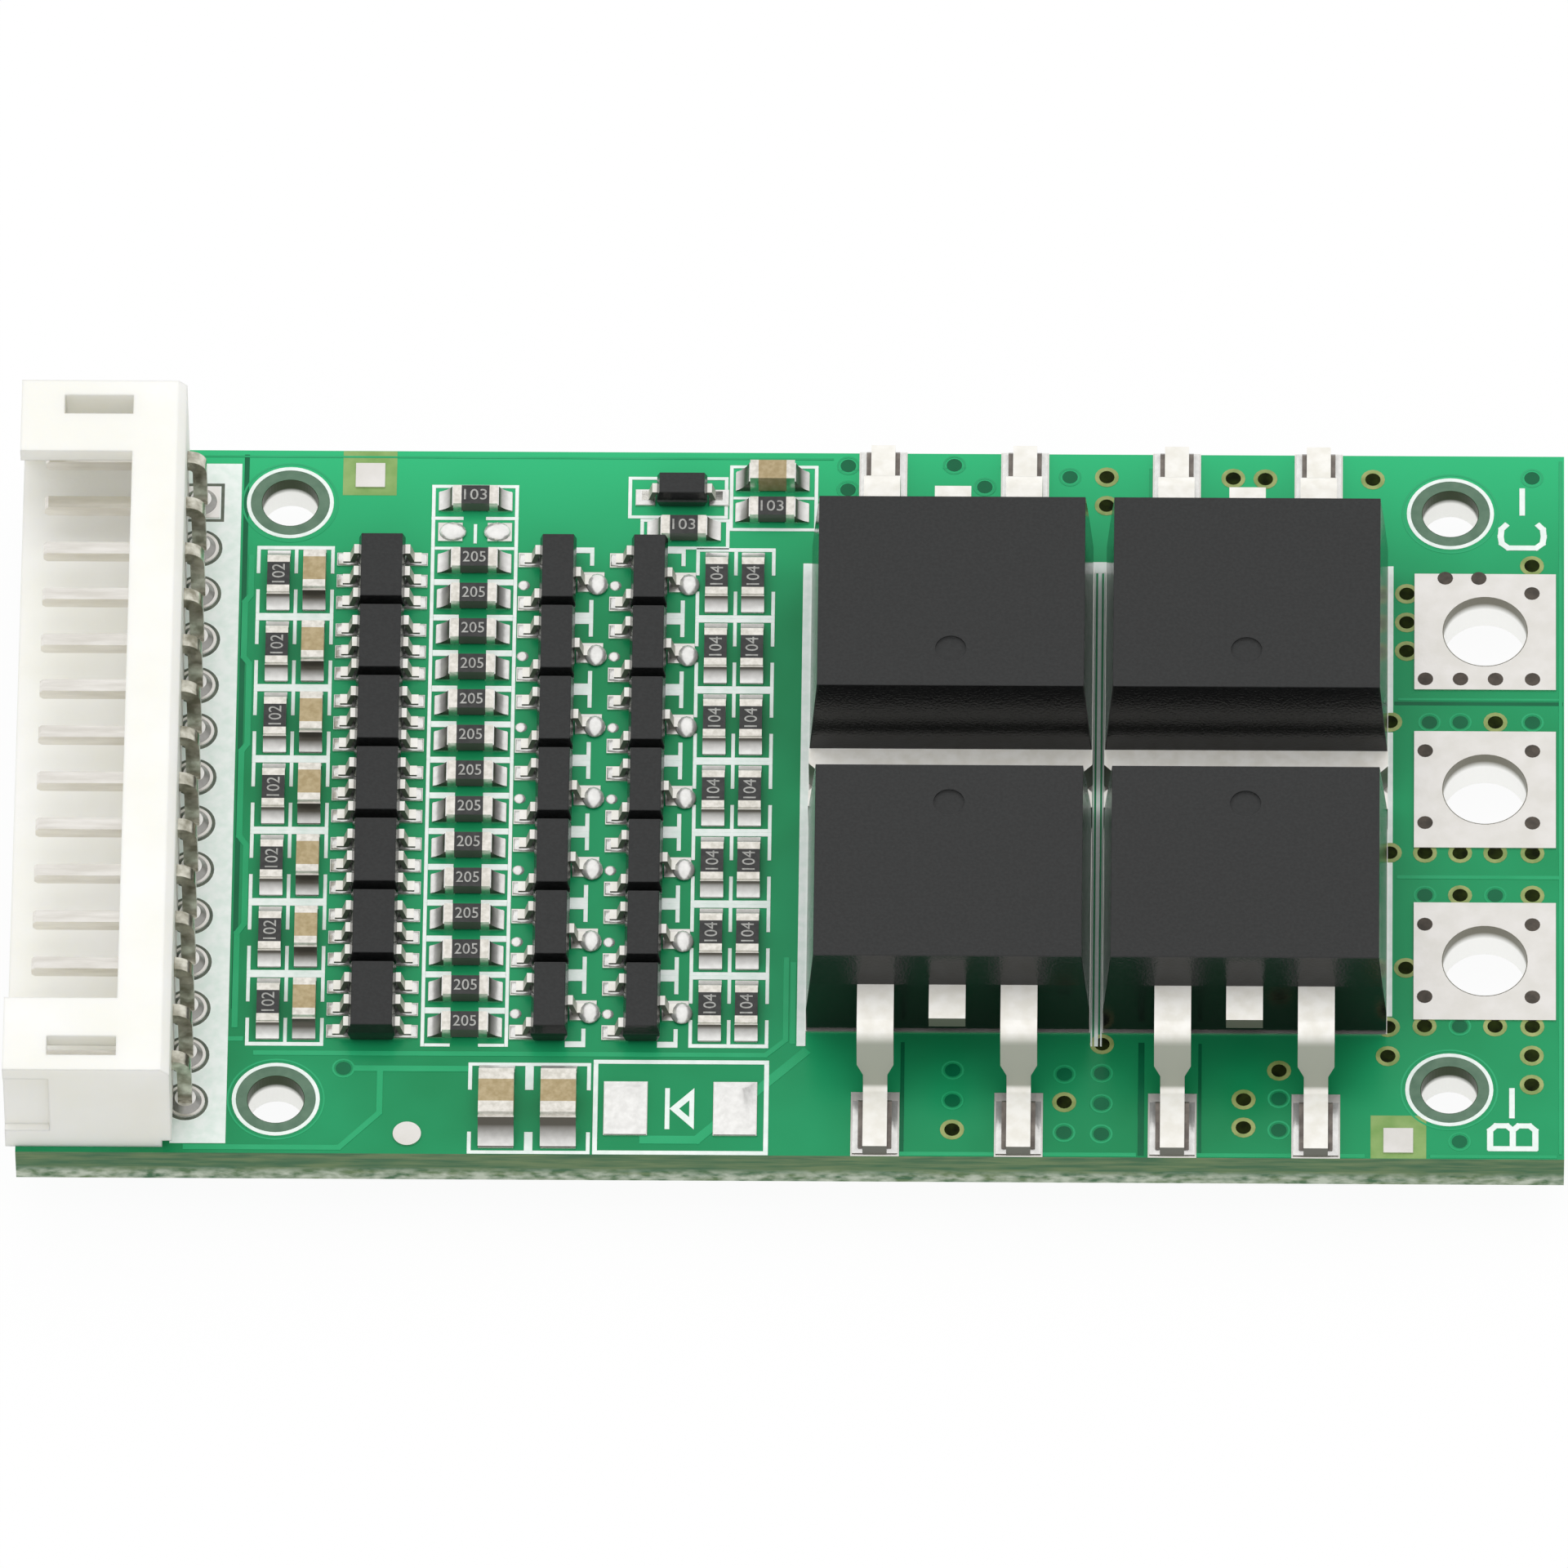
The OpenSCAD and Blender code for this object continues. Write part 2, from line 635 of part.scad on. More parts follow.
module clamp_diode_leads() {
  color(tinned) for (turn = [0, 180]) place(diode_at) rotate([0, 0, turn])
    gull_lead(diode_l, diode_span, diode_lead_w, diode_h);
}

// ---------- chip parts ----------

// Bodies of like chips, between their metal ends
module chip_cores(places, length, width, height, metal) {
  for (at = places) place(at) plate([length - 2 * metal, width], height);
}

// Metal ends of like chips
module chip_ends(places, length, width, height, metal) {
  for (at = places, side = [-1, 1])
    place(at) translate([side * (length - metal) / 2, 0, 0]) plate([metal, width], height);
}

module chip_terminations() {
  color(tinned) {
    chip_ends(resistor_places, chip_l, chip_w, resistor_h, chip_end);
    chip_ends(filter_places, chip_l, chip_w, filter_h, chip_end);
    chip_ends(bulk_places, bulk_l, bulk_w, bulk_h, bulk_end);
  }
}

// Two lands of a chip, under its ends and out past them
module chip_lands(places, length, width, heel) {
  for (at = places, side = [-1, 1])
    place(at, top_z) translate([side * (length / 2 + (heel - chip_land_in) / 2), 0, 0])
      plate([chip_land_in + heel, width], land_t);
}

// Wedges of solder from a chip's ends down to the lands
module chip_wedges(places, length, width, height, heel) {
  rise = height * wedge_share;
  for (at = places, turn = [0, 180]) place(at) rotate([0, 0, turn])
    along_y(width) polygon([
      [length / 2, 0], [length / 2 + heel, 0], [length / 2 + heel * 0.35, rise * 0.4], [length / 2, rise]
    ]);
}

// ---------- lands and solder of the small parts ----------

// Lands of one package side: n leads in a row, from the heel of the feet to past their tips
module lead_lands(at, span, size, offsets) {
  reach = span / 2 + sot_land_toe - size.x / 2;
  for (y = offsets) place(at, top_z) translate([reach, y, 0]) plate(size, land_t);
}

module surface_lands() {
  color(tinned) {
    for (i = rows, turn = [0, 180])
      lead_lands([monitor_x, row_y(i), turn], sot6_span, sot_land, [for (n = [-1 : 1]) n * sot_lead_pitch]);
    for (x = [shifter_a_x, shifter_b_x], i = rows) {
      lead_lands([x, row_y(i), 0], sot3_span + 2 * sot_land_toe, [sot3_land.x, 0.85], [0]);
      lead_lands([x, row_y(i), 180], sot3_span, sot3_land, [-sot_lead_pitch, sot_lead_pitch]);
    }
    chip_lands(resistor_places, chip_l, chip_w, chip_heel);
    chip_lands(filter_places, chip_l, chip_w, chip_heel);
    chip_lands(bulk_places, bulk_l, bulk_w, bulk_heel);
    chip_lands([[shifter_r_x, bare_pair_y, 0]], chip_l, chip_w, chip_heel);
    for (turn = [0, 180]) lead_lands([diode_at.x, diode_at.y, turn], diode_span, [0.7, 0.7], [0]);
    for (side = [-1, 1]) place([bare_diode_at.x + side * bare_diode_gap / 2, bare_diode_at.y], top_z)
      plate(bare_diode_land, land_t);
    for (at = [back_mark_at, front_mark_at]) place(at, top_z) plate([square_mark, square_mark], land_t);
    place(round_mark_at, top_z) cylinder(d = round_mark_d, h = land_t);
  }
}

module solder_fillets() {
  color(tinned) {
    chip_wedges(resistor_places, chip_l, chip_w, resistor_h, chip_heel);
    chip_wedges(filter_places, chip_l, chip_w, filter_h, chip_heel);
    chip_wedges(bulk_places, bulk_l, bulk_w, bulk_h, bulk_heel);
    // two low pads of solder on the empty footprint
    for (side = [-1, 1]) place([shifter_r_x + side * chip_l / 2, bare_pair_y])
      plate([chip_w, chip_w], blob_h);
  }
}

// ---------- assembly ----------

translate([-datum_x, 0, 0]) {
  pcb();
  header_lands();
  header_housing();
  for (i = [1 : ways])
    header_pin(i - 1);
  header_solder();
  for (i = [1 : 3])
    terminal_land(i - 1);
  for (i = [1 : len(fet_at)]) {
    fet_body(fet_at[i - 1]);
    fet_drain_tab(fet_at[i - 1]);
    fet_leads(fet_at[i - 1]);
  }
  fet_lands();
  for (i = [1 : channels])
    cell_monitor(i - 1);
  cell_monitor_leads();
  shifter_transistors(shifter_a_x);  // shifter_transistors_a
  shifter_transistors(shifter_b_x);  // shifter_transistors_b
  shifter_leads();
  color(film_black) chip_cores(input_places, chip_l, chip_w, resistor_h, chip_end);  // input_resistors
  color(film_black) chip_cores(shifter_places, chip_l, chip_w, resistor_h, chip_end);  // shifter_resistors
  color(film_black) chip_cores(gate_places, chip_l, chip_w, resistor_h, chip_end);  // gate_resistors
  color(film_black) chip_cores(lone_places, chip_l, chip_w, resistor_h, chip_end);  // supply_resistors
  color(ceramic_tan) chip_cores(filter_places, chip_l, chip_w, filter_h, chip_end);  // filter_capacitors
  color(ceramic_tan) chip_cores(bulk_places, bulk_l, bulk_w, bulk_h, bulk_end);  // bulk_capacitors
  chip_terminations();
  clamp_diode();
  clamp_diode_leads();
  surface_lands();
  solder_fillets();
}
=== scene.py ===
# Looks for the battery management board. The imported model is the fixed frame, in metres.
# Sizes below are in millimetres, counted from the middle of the board's component side.
import math

import bpy
from mathutils import Matrix, Vector


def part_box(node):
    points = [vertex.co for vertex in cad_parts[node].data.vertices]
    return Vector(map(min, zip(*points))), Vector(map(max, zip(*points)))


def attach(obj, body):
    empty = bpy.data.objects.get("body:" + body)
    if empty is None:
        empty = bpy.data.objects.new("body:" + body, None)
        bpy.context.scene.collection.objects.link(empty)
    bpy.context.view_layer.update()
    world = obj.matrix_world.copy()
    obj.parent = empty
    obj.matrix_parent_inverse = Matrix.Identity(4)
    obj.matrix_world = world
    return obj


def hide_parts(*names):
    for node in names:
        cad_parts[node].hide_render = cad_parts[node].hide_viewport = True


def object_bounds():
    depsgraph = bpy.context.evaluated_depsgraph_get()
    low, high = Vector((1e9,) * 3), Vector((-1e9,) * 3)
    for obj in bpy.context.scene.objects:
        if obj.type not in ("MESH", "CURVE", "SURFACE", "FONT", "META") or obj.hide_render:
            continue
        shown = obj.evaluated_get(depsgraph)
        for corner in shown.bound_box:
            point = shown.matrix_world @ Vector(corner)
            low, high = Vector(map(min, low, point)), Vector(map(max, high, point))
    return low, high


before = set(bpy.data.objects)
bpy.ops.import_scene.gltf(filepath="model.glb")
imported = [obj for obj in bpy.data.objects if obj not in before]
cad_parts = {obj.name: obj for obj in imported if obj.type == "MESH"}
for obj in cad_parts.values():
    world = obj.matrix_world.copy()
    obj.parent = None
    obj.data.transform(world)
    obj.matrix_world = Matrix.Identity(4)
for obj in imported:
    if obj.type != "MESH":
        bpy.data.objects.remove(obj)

cad_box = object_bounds()


# ---------- Viewpoint, floor and lamps ----------
# The board lies on a pale studio table under one wide overhead softbox. A long lens looks
# down on it from the front, and the table stays plain white all round.

MM = 0.001
pcb_low, pcb_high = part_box("pcb")
board_mid = (pcb_low + pcb_high) / 2


def spot(x, y, z=0.0):
    """A place over the board's middle, in mm, as metres in the model's frame."""
    return Vector((board_mid.x + x * MM, board_mid.y + y * MM, pcb_high.z + z * MM))


def linear(code):
    """An sRGB hex colour as linear RGBA."""
    parts = [int(code[i : i + 2], 16) / 255 for i in (0, 2, 4)]
    return [p / 12.92 if p < 0.04045 else ((p + 0.055) / 1.055) ** 2.4 for p in parts] + [1]


def add(tree, kind, values=None, links=None, **settings):
    """Adds one node: settings on the node, values on its sockets, and links into them."""
    made = tree.nodes.new(kind)
    for key, value in settings.items():
        setattr(made, key, value)
    for key, value in (values or {}).items():
        made.inputs[key].default_value = value
    for key, socket in (links or {}).items():
        tree.links.new(socket, made.inputs[key])
    return made


def backdrop_rays(tree):
    """1 where the camera, a reflection or a view through glass sees the surface, else 0."""
    path = add(tree, "ShaderNodeLightPath")
    seen = add(tree, "ShaderNodeMath", links={0: path.outputs["Is Camera Ray"],
               1: path.outputs["Is Glossy Ray"]}, operation="MAXIMUM")
    return add(tree, "ShaderNodeMath", links={0: seen.outputs[0],
               1: path.outputs["Is Transmission Ray"]}, operation="MAXIMUM").outputs[0]


camera_azimuth = math.radians(1.404)
camera_elevation = math.radians(55.081)
camera_roll = math.radians(-0.861)
camera_distance = 1290.5
towards_camera = Vector((
    math.sin(camera_azimuth) * math.cos(camera_elevation),
    -math.cos(camera_azimuth) * math.cos(camera_elevation),
    math.sin(camera_elevation),
))
camera_aim = spot(-0.387, 0.781)
bpy.ops.object.camera_add(location=camera_aim + towards_camera * camera_distance * MM)
camera = bpy.context.object
camera.rotation_euler = (towards_camera.to_track_quat("Z", "Y").to_matrix()
                         @ Matrix.Rotation(camera_roll, 3, "Z")).to_euler()
camera.data.sensor_width = 36
camera.data.lens = 831.7
camera.data.clip_end = 20
bpy.context.scene.camera = camera
bpy.context.scene.view_settings.view_transform = "Standard"

world = bpy.data.worlds.new("white studio")
bpy.context.scene.world = world
world.use_nodes = True
room_light = 0.75
room = add(world.node_tree, "ShaderNodeMath", {1: 1 - room_light, 2: room_light},
           {0: backdrop_rays(world.node_tree)}, operation="MULTIPLY_ADD")
sky = world.node_tree.nodes["Background"]
sky.inputs["Color"].default_value = (1, 1, 1, 1)
world.node_tree.links.new(room.outputs[0], sky.inputs["Strength"])

softbox_place = spot(-60, 230, 760)
bpy.ops.object.light_add(type="AREA", location=softbox_place)
softbox = bpy.context.object
softbox.name = "softbox"
softbox.data.size = 1.0
softbox.data.energy = 3.2
# Metal mirrors the pale room alone, and so keeps about the colour it is given.
softbox.visible_glossy = False
softbox.rotation_euler = (softbox_place - spot(0, 0)).to_track_quat("Z", "Y").to_euler()

table_side = 4
bpy.ops.mesh.primitive_plane_add(size=table_side,
                                 location=(board_mid.x, board_mid.y, cad_box[0].z))
table = bpy.context.object
table.name = "table"
table_white = bpy.data.materials.new("white table top")
table_white.use_nodes = True
tree = table_white.node_tree
tree.nodes.remove(tree.nodes["Principled BSDF"])
grey = add(tree, "ShaderNodeBsdfDiffuse", {"Color": linear("E6E6E4")})
pale = add(tree, "ShaderNodeBsdfDiffuse", {"Color": linear("FAFAFA")})
glow = add(tree, "ShaderNodeEmission", {"Color": (1, 1, 1, 1), "Strength": 1})
table_glow = 0.95
seen_table = add(tree, "ShaderNodeMixShader", {0: table_glow},
                 {1: pale.outputs[0], 2: glow.outputs[0]})
mixed = add(tree, "ShaderNodeMixShader", links={0: backdrop_rays(tree), 1: grey.outputs[0],
            2: seen_table.outputs[0]})
tree.links.new(mixed.outputs[0], tree.nodes["Material Output"].inputs["Surface"])
table.data.materials.append(table_white)


# ---------- Laminate board ----------
# A rectangle of glass-epoxy laminate, routed from a panel, with a glossy green solder mask
# on both sides. The cut edges and the drilled holes show the bare resin and its glass.

mask_green = "1C9660"
mask_green_deep = "12844F"
# The pour tone, and the painted reflection along the back edge.
mask_green_pour_and_painted_reflection = "2BB878"


def start_finish(name, roughness, metallic=0.0):
    """A new material: its tree, its shader, and the object coordinates in metres."""
    made = bpy.data.materials.new(name)
    made.use_nodes = True
    shader = made.node_tree.nodes["Principled BSDF"]
    shader.inputs["Roughness"].default_value = roughness
    shader.inputs["Metallic"].default_value = metallic
    where = add(made.node_tree, "ShaderNodeTexCoord").outputs["Object"]
    return made, made.node_tree, shader, where


def lumps(tree, where, size, stretch=(1, 1, 1), detail=3.0):
    """A noise from 0 to 1 whose lumps are size mm wide."""
    turned = add(tree, "ShaderNodeMapping", {"Scale": stretch}, {"Vector": where})
    noise = add(tree, "ShaderNodeTexNoise", {"Scale": 1000 / size, "Detail": detail},
                {"Vector": turned.outputs[0]})
    spread = add(tree, "ShaderNodeMapRange", {"From Min": 0.35, "From Max": 0.65},
                 {"Value": noise.outputs["Fac"]})
    return spread.outputs[0]


def speckle(tree, where, size, low, high, stretch=(1, 1, 1)):
    """Mixes two colours by lumps(), and gives the colour and the noise."""
    noise = lumps(tree, where, size, stretch)
    mix = add(tree, "ShaderNodeMix", {6: linear(low), 7: linear(high)}, {0: noise},
              data_type="RGBA")
    return mix.outputs[2], noise


def upward(tree):
    """The upward part of the surface's direction, from -1 to 1."""
    facing = add(tree, "ShaderNodeNewGeometry")
    return add(tree, "ShaderNodeSeparateXYZ", links={0: facing.outputs["Normal"]}).outputs["Z"]


def roughen(tree, shader, height, depth, strength, corner=0):
    """Bumps the surface by a noise, depth mm deep, with corners softened by a radius in mm."""
    links = {"Height": height}
    if corner:
        soft_corner = add(tree, "ShaderNodeBevel", {"Radius": corner * MM}, samples=4)
        links["Normal"] = soft_corner.outputs[0]
    bump = add(tree, "ShaderNodeBump", {"Strength": strength, "Distance": depth * MM}, links)
    tree.links.new(bump.outputs[0], shader.inputs["Normal"])


# Liquid-applied solder mask over copper and laminate: wet-looking green film, a little
# uneven in depth, and lighter over the power pours. On the top side it is also painted lighter
# towards the back edge: painted reflection of the lamp. Routed edge: olive resin with pale
# lengthwise glass fibres, crumbled white along its lower side.
solder_mask, tree, shader, where = start_finish("green solder mask on laminate", 0.28)
shader.inputs["Specular IOR Level"].default_value = 0.25
film = speckle(tree, where, 7, mask_green_deep, mask_green)[0]
place = add(tree, "ShaderNodeSeparateXYZ", links={0: where})
up = upward(tree)
top_side = add(tree, "ShaderNodeMath", {1: 0.5}, {0: up}, operation="GREATER_THAN")
# Painted reflection: the top of the mask is lightened over its last 7 mm towards the back edge.
painted_reflection_towards_back = add(tree, "ShaderNodeMapRange", {"From Min": 8 * MM, "From Max": 15 * MM},
                   {"Value": place.outputs["Y"]})
over_pours = add(tree, "ShaderNodeMapRange",
                 {"From Min": 36 * MM, "From Max": 40 * MM, "To Max": 0.2},
                 {"Value": place.outputs["X"]})
lighter = add(tree, "ShaderNodeMath",
              links={0: painted_reflection_towards_back.outputs[0], 1: over_pours.outputs[0]}, operation="MAXIMUM")
top_pour_tone_and_painted_reflection = add(tree, "ShaderNodeMath", links={0: lighter.outputs[0], 1: top_side.outputs[0]},
                  operation="MULTIPLY")
mask_film_with_painted_reflection = add(tree, "ShaderNodeMix", {7: linear(mask_green_pour_and_painted_reflection)},
                {0: top_pour_tone_and_painted_reflection.outputs[0], 6: film}, data_type="RGBA")
resin, resin_noise = speckle(tree, where, 0.5, "3A6B45", "6B8458", (0.25, 0.25, 2.5))
rough_cut = add(tree, "ShaderNodeMapRange",
                {"From Min": 0.35 * MM, "From Max": 0.75 * MM, "To Min": 1.0, "To Max": 0.0},
                {"Value": place.outputs["Z"]})
crumb = lumps(tree, where, 0.35, (0.6, 0.6, 1))
crumbled = add(tree, "ShaderNodeMath", links={0: rough_cut.outputs[0], 1: crumb},
               operation="MULTIPLY")
edge = add(tree, "ShaderNodeMix", {7: linear("C6D0BE")}, {0: crumbled.outputs[0], 6: resin},
           data_type="RGBA")
level_part = add(tree, "ShaderNodeMath", links={0: up}, operation="ABSOLUTE")
flat = add(tree, "ShaderNodeMath", {1: 0.5}, {0: level_part.outputs[0]}, operation="GREATER_THAN")
board_colour = add(tree, "ShaderNodeMix",
                   links={0: flat.outputs[0], 6: edge.outputs[2], 7: mask_film_with_painted_reflection.outputs[2]},
                   data_type="RGBA")
tree.links.new(board_colour.outputs[2], shader.inputs["Base Color"])
roughen(tree, shader, resin_noise, 0.004, 0.25)


def dress_node(name, finish):
    """Gives a carried-over node its finish."""
    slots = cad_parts[name].data.materials
    slots.clear()
    slots.append(finish)


dress_node("pcb", solder_mask)


# ---------- Copper under the mask, and a painted edge highlight ---
# Etched copper traces and the edges of the copper pours, 0.035 mm thick. The film runs over
# them without a break and levels most of that out, so they show as lighter, slight ridges.
# The three runs along the front edge are painted highlight: the lit top edge of the board.

etched_rise = 0.014


def sketch(name, shapes, rise):
    """A thin flat piece from rectangles: middle x, middle y, length, width and turn, in mm.
    Neighbours differ by half a micron in height, so that no two faces coincide."""
    tiles = []
    for i, (x, y, length, width, turn) in enumerate(shapes):
        level = i % 7 * 0.0005
        bpy.ops.mesh.primitive_cube_add(
            size=1, location=(x, y, rise / 2 + level), rotation=(0, 0, math.radians(turn)),
            scale=(length, width, rise))
        tiles.append(bpy.context.object)
    bpy.ops.object.select_all(action="DESELECT")
    for tile in tiles:
        tile.select_set(True)
    bpy.ops.object.join()
    piece = bpy.context.object
    piece.name = name
    bpy.ops.object.transform_apply()
    bpy.ops.object.mode_set(mode="EDIT")
    bpy.ops.mesh.select_all(action="SELECT")
    bpy.ops.mesh.bevel(offset=rise * 0.4, segments=1)
    bpy.ops.object.mode_set(mode="OBJECT")
    return piece


def bar(x0, x1, y0, y1):
    """A rectangle for sketch() from its sides."""
    return ((x0 + x1) / 2, (y0 + y1) / 2, x1 - x0, y1 - y0, 0)


def run(points, width):
    """Rectangles for sketch() along a line of points."""
    made = []
    for (x0, y0), (x1, y1) in zip(points, points[1:]):
        turn = math.degrees(math.atan2(y1 - y0, x1 - x0))
        made.append(((x0 + x1) / 2, (y0 + y1) / 2, math.hypot(x1 - x0, y1 - y0) + width * 0.7,
                     width, turn))
    return made


def stamp(master, places, level=0.0):
    """Copies a piece, modelled one unit to the millimetre, to places x, y and turn, at a
    level over the board's top. Each copy has its own mesh, and the copies are joined."""
    copies = []
    for x, y, turn in places:
        copy = master.copy()
        copy.data = master.data.copy()
        copy.data.transform(Matrix.Translation(spot(x, y, level))
                            @ Matrix.Rotation(math.radians(turn), 4, "Z") @ Matrix.Scale(MM, 4))
        bpy.context.collection.objects.link(copy)
        copies.append(copy)
    name = master.name
    bpy.data.objects.remove(master)
    bpy.ops.object.select_all(action="DESELECT")
    for copy in copies:
        copy.select_set(True)
    bpy.context.view_layer.objects.active = copies[0]
    if len(copies) > 1:
        bpy.ops.object.join()
    piece = bpy.context.view_layer.objects.active
    piece.name = name
    return piece


def dress(piece, finish):
    """Gives a new piece its finish and fixes it to the board."""
    piece.data.materials.clear()
    piece.data.materials.append(finish)
    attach(piece, "root")


def tint(tree, shader, where, size, low, high):
    """Colours the whole surface by speckle(), and gives its noise."""
    colour, noise = speckle(tree, where, size, low, high)
    tree.links.new(colour, shader.inputs["Base Color"])
    return noise


# Solder mask where it lies on copper: the metal under it makes the green lighter. It also
# colours the painted highlight along the front edge.
mask_over_copper_and_edge_highlight, tree, shader, where = start_finish("green solder mask over copper and painted edge highlight", 0.25)
shader.inputs["Specular IOR Level"].default_value = 0.25
tint(tree, shader, where, 3, "23A268", "2FAA72")

track_and_edge_highlight_runs = [
    ([(-20.0, -10.35), (-19.5, -10.35)], 0.2),
    ([(-19.0, -10.95), (-0.9, -10.95), (-0.2, -10.3), (-0.2, -6.8)], 0.2),
    ([(-15.4, -11.6), (-11.5, -11.6)], 0.25),
    ([(-14.55, -11.75), (-14.55, -13.5), (-15.95, -15.0), (-21.4, -15.0)], 0.22),
    ([(0.5, -10.8), (-3.3, -14.6), (-5.2, -14.6)], 0.35),
    ([(0.05, -7.0), (0.05, -10.4)], 0.2),
    ([(-19.55, 10.6), (-19.55, 8.9), (-19.75, 8.6), (-19.75, 6.2), (-19.55, 5.9), (-19.55, 2.4),
      (-19.75, 2.1), (-19.75, -1.6), (-19.5, -2.0), (-19.5, -5.4), (-19.75, -5.8), (-19.75, -9.8)],
     0.22),
    ([(21.5, 4.6), (27.2, 4.6)], 0.1),
    ([(21.5, -3.12), (27.2, -3.12)], 0.16),
    ([(27.27, 15.0), (27.27, -15.0)], 0.12),
    ([(-21.4, 14.98), (1.2, 14.98)], 0.08),
    ([(12.6, 14.6), (12.6, 13.4)], 0.12),
    ([(7.6, 14.6), (7.6, 13.3)], 0.12),
    # Painted highlight: these three runs along the front edge stand for the lit top edge of the
    # board.
    ([(3.9, -15.14), (12.2, -15.14)], 0.17),
    ([(14.4, -15.14), (20.3, -15.14)], 0.17),
    ([(22.7, -15.14), (27.1, -15.14)], 0.14),
]
track_and_edge_highlight_shapes = [shape for points, width in track_and_edge_highlight_runs for shape in run(points, width)]
tracks_and_edge_highlight = stamp(sketch("tracks_and_edge_highlight", track_and_edge_highlight_shapes, etched_rise), [(0, 0, 0)])
dress(tracks_and_edge_highlight, mask_over_copper_and_edge_highlight)

# Thin breaks between the pours, where the dark laminate shows through the mask. The three
# lines beside the front transistors' leads are painted shade, cast by the leads and mouldings.
mask_on_gap_and_painted_shade, tree, shader, where = start_finish("green solder mask over bare laminate and painted shade", 0.25)
shader.inputs["Specular IOR Level"].default_value = 0.25
tint(tree, shader, where, 2, "04603C", "066B44")
gap_and_shade_runs = [
    ([(21.4, 4.42), (27.3, 4.42)], 0.16),
    ([(-19.8, 15.0), (-19.8, -9.0)], 0.18),
    # Painted shade: the next three lines stand for shade beside the front transistors' leads.
    ([(12.42, -15.1), (12.42, -10.4)], 0.22),
    ([(3.96, -15.1), (3.96, -10.4)], 0.14),
    ([(14.5, -15.1), (14.5, -10.4)], 0.12),
]
gap_and_shade_shapes = [shape for points, width in gap_and_shade_runs for shape in run(points, width)]
gap_and_shade_piece = stamp(sketch("pour_gaps_and_painted_shade", gap_and_shade_shapes, 0.004), [(0, 0, 0)])
dress(gap_and_shade_piece, mask_on_gap_and_painted_shade)


# ---------- Vias ----------
# Plated holes, 0.56 mm wide, that join the two sides of the power pours. Most are left
# open with a thin bright-olive rim, and the rest are covered by the mask.

via_hole_r = 0.28
via_rim_r = 0.43


def ring(name, outer, line, rise, sides):
    """A flat ring from its outer radius, the width of its line and its height, in mm."""
    bpy.ops.object.select_all(action="DESELECT")
    bpy.ops.mesh.primitive_circle_add(vertices=sides, radius=outer, fill_type="NGON")
    piece = bpy.context.object
    piece.name = name
    bpy.ops.object.mode_set(mode="EDIT")
    bpy.ops.mesh.select_all(action="SELECT")
    bpy.ops.mesh.inset(thickness=line)
    bpy.ops.mesh.delete(type="FACE")
    bpy.ops.mesh.select_all(action="SELECT")
    bpy.ops.mesh.extrude_region_move(TRANSFORM_OT_translate={"value": (0, 0, rise)})
    bpy.ops.object.mode_set(mode="OBJECT")
    return piece


def disc(name, radius, rise):
    """A flat disc, in mm."""
    bpy.ops.object.select_all(action="DESELECT")
    bpy.ops.mesh.primitive_circle_add(vertices=16, radius=radius, fill_type="NGON")
    piece = bpy.context.object
    piece.name = name
    bpy.ops.object.mode_set(mode="EDIT")
    bpy.ops.mesh.select_all(action="SELECT")
    bpy.ops.mesh.extrude_region_move(TRANSFORM_OT_translate={"value": (0, 0, rise)})
    bpy.ops.object.mode_set(mode="OBJECT")
    return piece


# Bare rim of a via: tinned copper seen through the thin edge of the mask, so it is olive.
via_rim, tree, shader, where = start_finish("olive rim of an open via", 0.35)
tint(tree, shader, where, 0.6, "7E9450", "A3AE6C")
# The hole itself is too deep and narrow to light.
via_dark, tree, shader, where = start_finish("unlit via hole", 0.9)
shader.inputs["Specular IOR Level"].default_value = 0.1
tint(tree, shader, where, 0.4, "141A08", "26300F")
# In the tinned lands the holes are half filled with tin; their dull grey-brown is painted
# shade down in the hole.
via_tinned_painted_shade, tree, shader, where = start_finish("tinned via hole in shade", 0.7)
tint(tree, shader, where, 0.3, "3F3A33", "544C44")

# Beside the terminals the vias stand in rows across five columns. Each row is its y, then the
# columns where a via is open, and where it is covered.
via_step = 1.25
via_columns = [21.2 + via_step * i for i in range(4)] + [26.27]
open_places = []
covered_places = []
for y, opened, covered in ((3.61, (0, 3), (2, 4)), (-2.07, range(5), ()), (-3.9, (2, 4), (1, 3)),
                           (-9.55, (1, 3, 4), (2,))):
    open_places += [(via_columns[i], y, 0) for i in opened]
    covered_places += [(via_columns[i], y, 0) for i in covered]

# Round the power transistors and in the corners they stand in short columns: the column's x,
# then the y of its open vias and of its covered ones.
for x, opened, covered in (
    (1.75, (), (14.7, 13.65)),
    (5.55, (), (14.75,)),
    (5.74, (-14.1,), (-11.55, -12.85)),
    (6.65, (), (13.8,)),
    (9.7, (-12.9,), (14.25, -11.7, -14.2)),
    (11.02, (14.25, 13.0, -10.4), (-11.65, -12.95, -14.25)),
    (15.55, (14.22,), ()),
    (16.05, (-12.75, -13.95), ()),
    (16.7, (14.2,), ()),
    (17.3, (-11.5,), (-12.7, -14.05)),
    (20.55, (14.2,), ()),
    (21.15, (-9.6, -10.85), ()),
    (21.78, (9.2, 7.95, 6.7, -7.05), ()),
    (22.6, (), (3.6,)),
    (23.7, (), (-14.5,)),
    (26.25, (10.45, -10.8, -12.05), (14.3,)),
    (-15.85, (), (-11.6,)),
):
    open_places += [(x, y, 0) for y in opened]
    covered_places += [(x, y, 0) for y in covered]

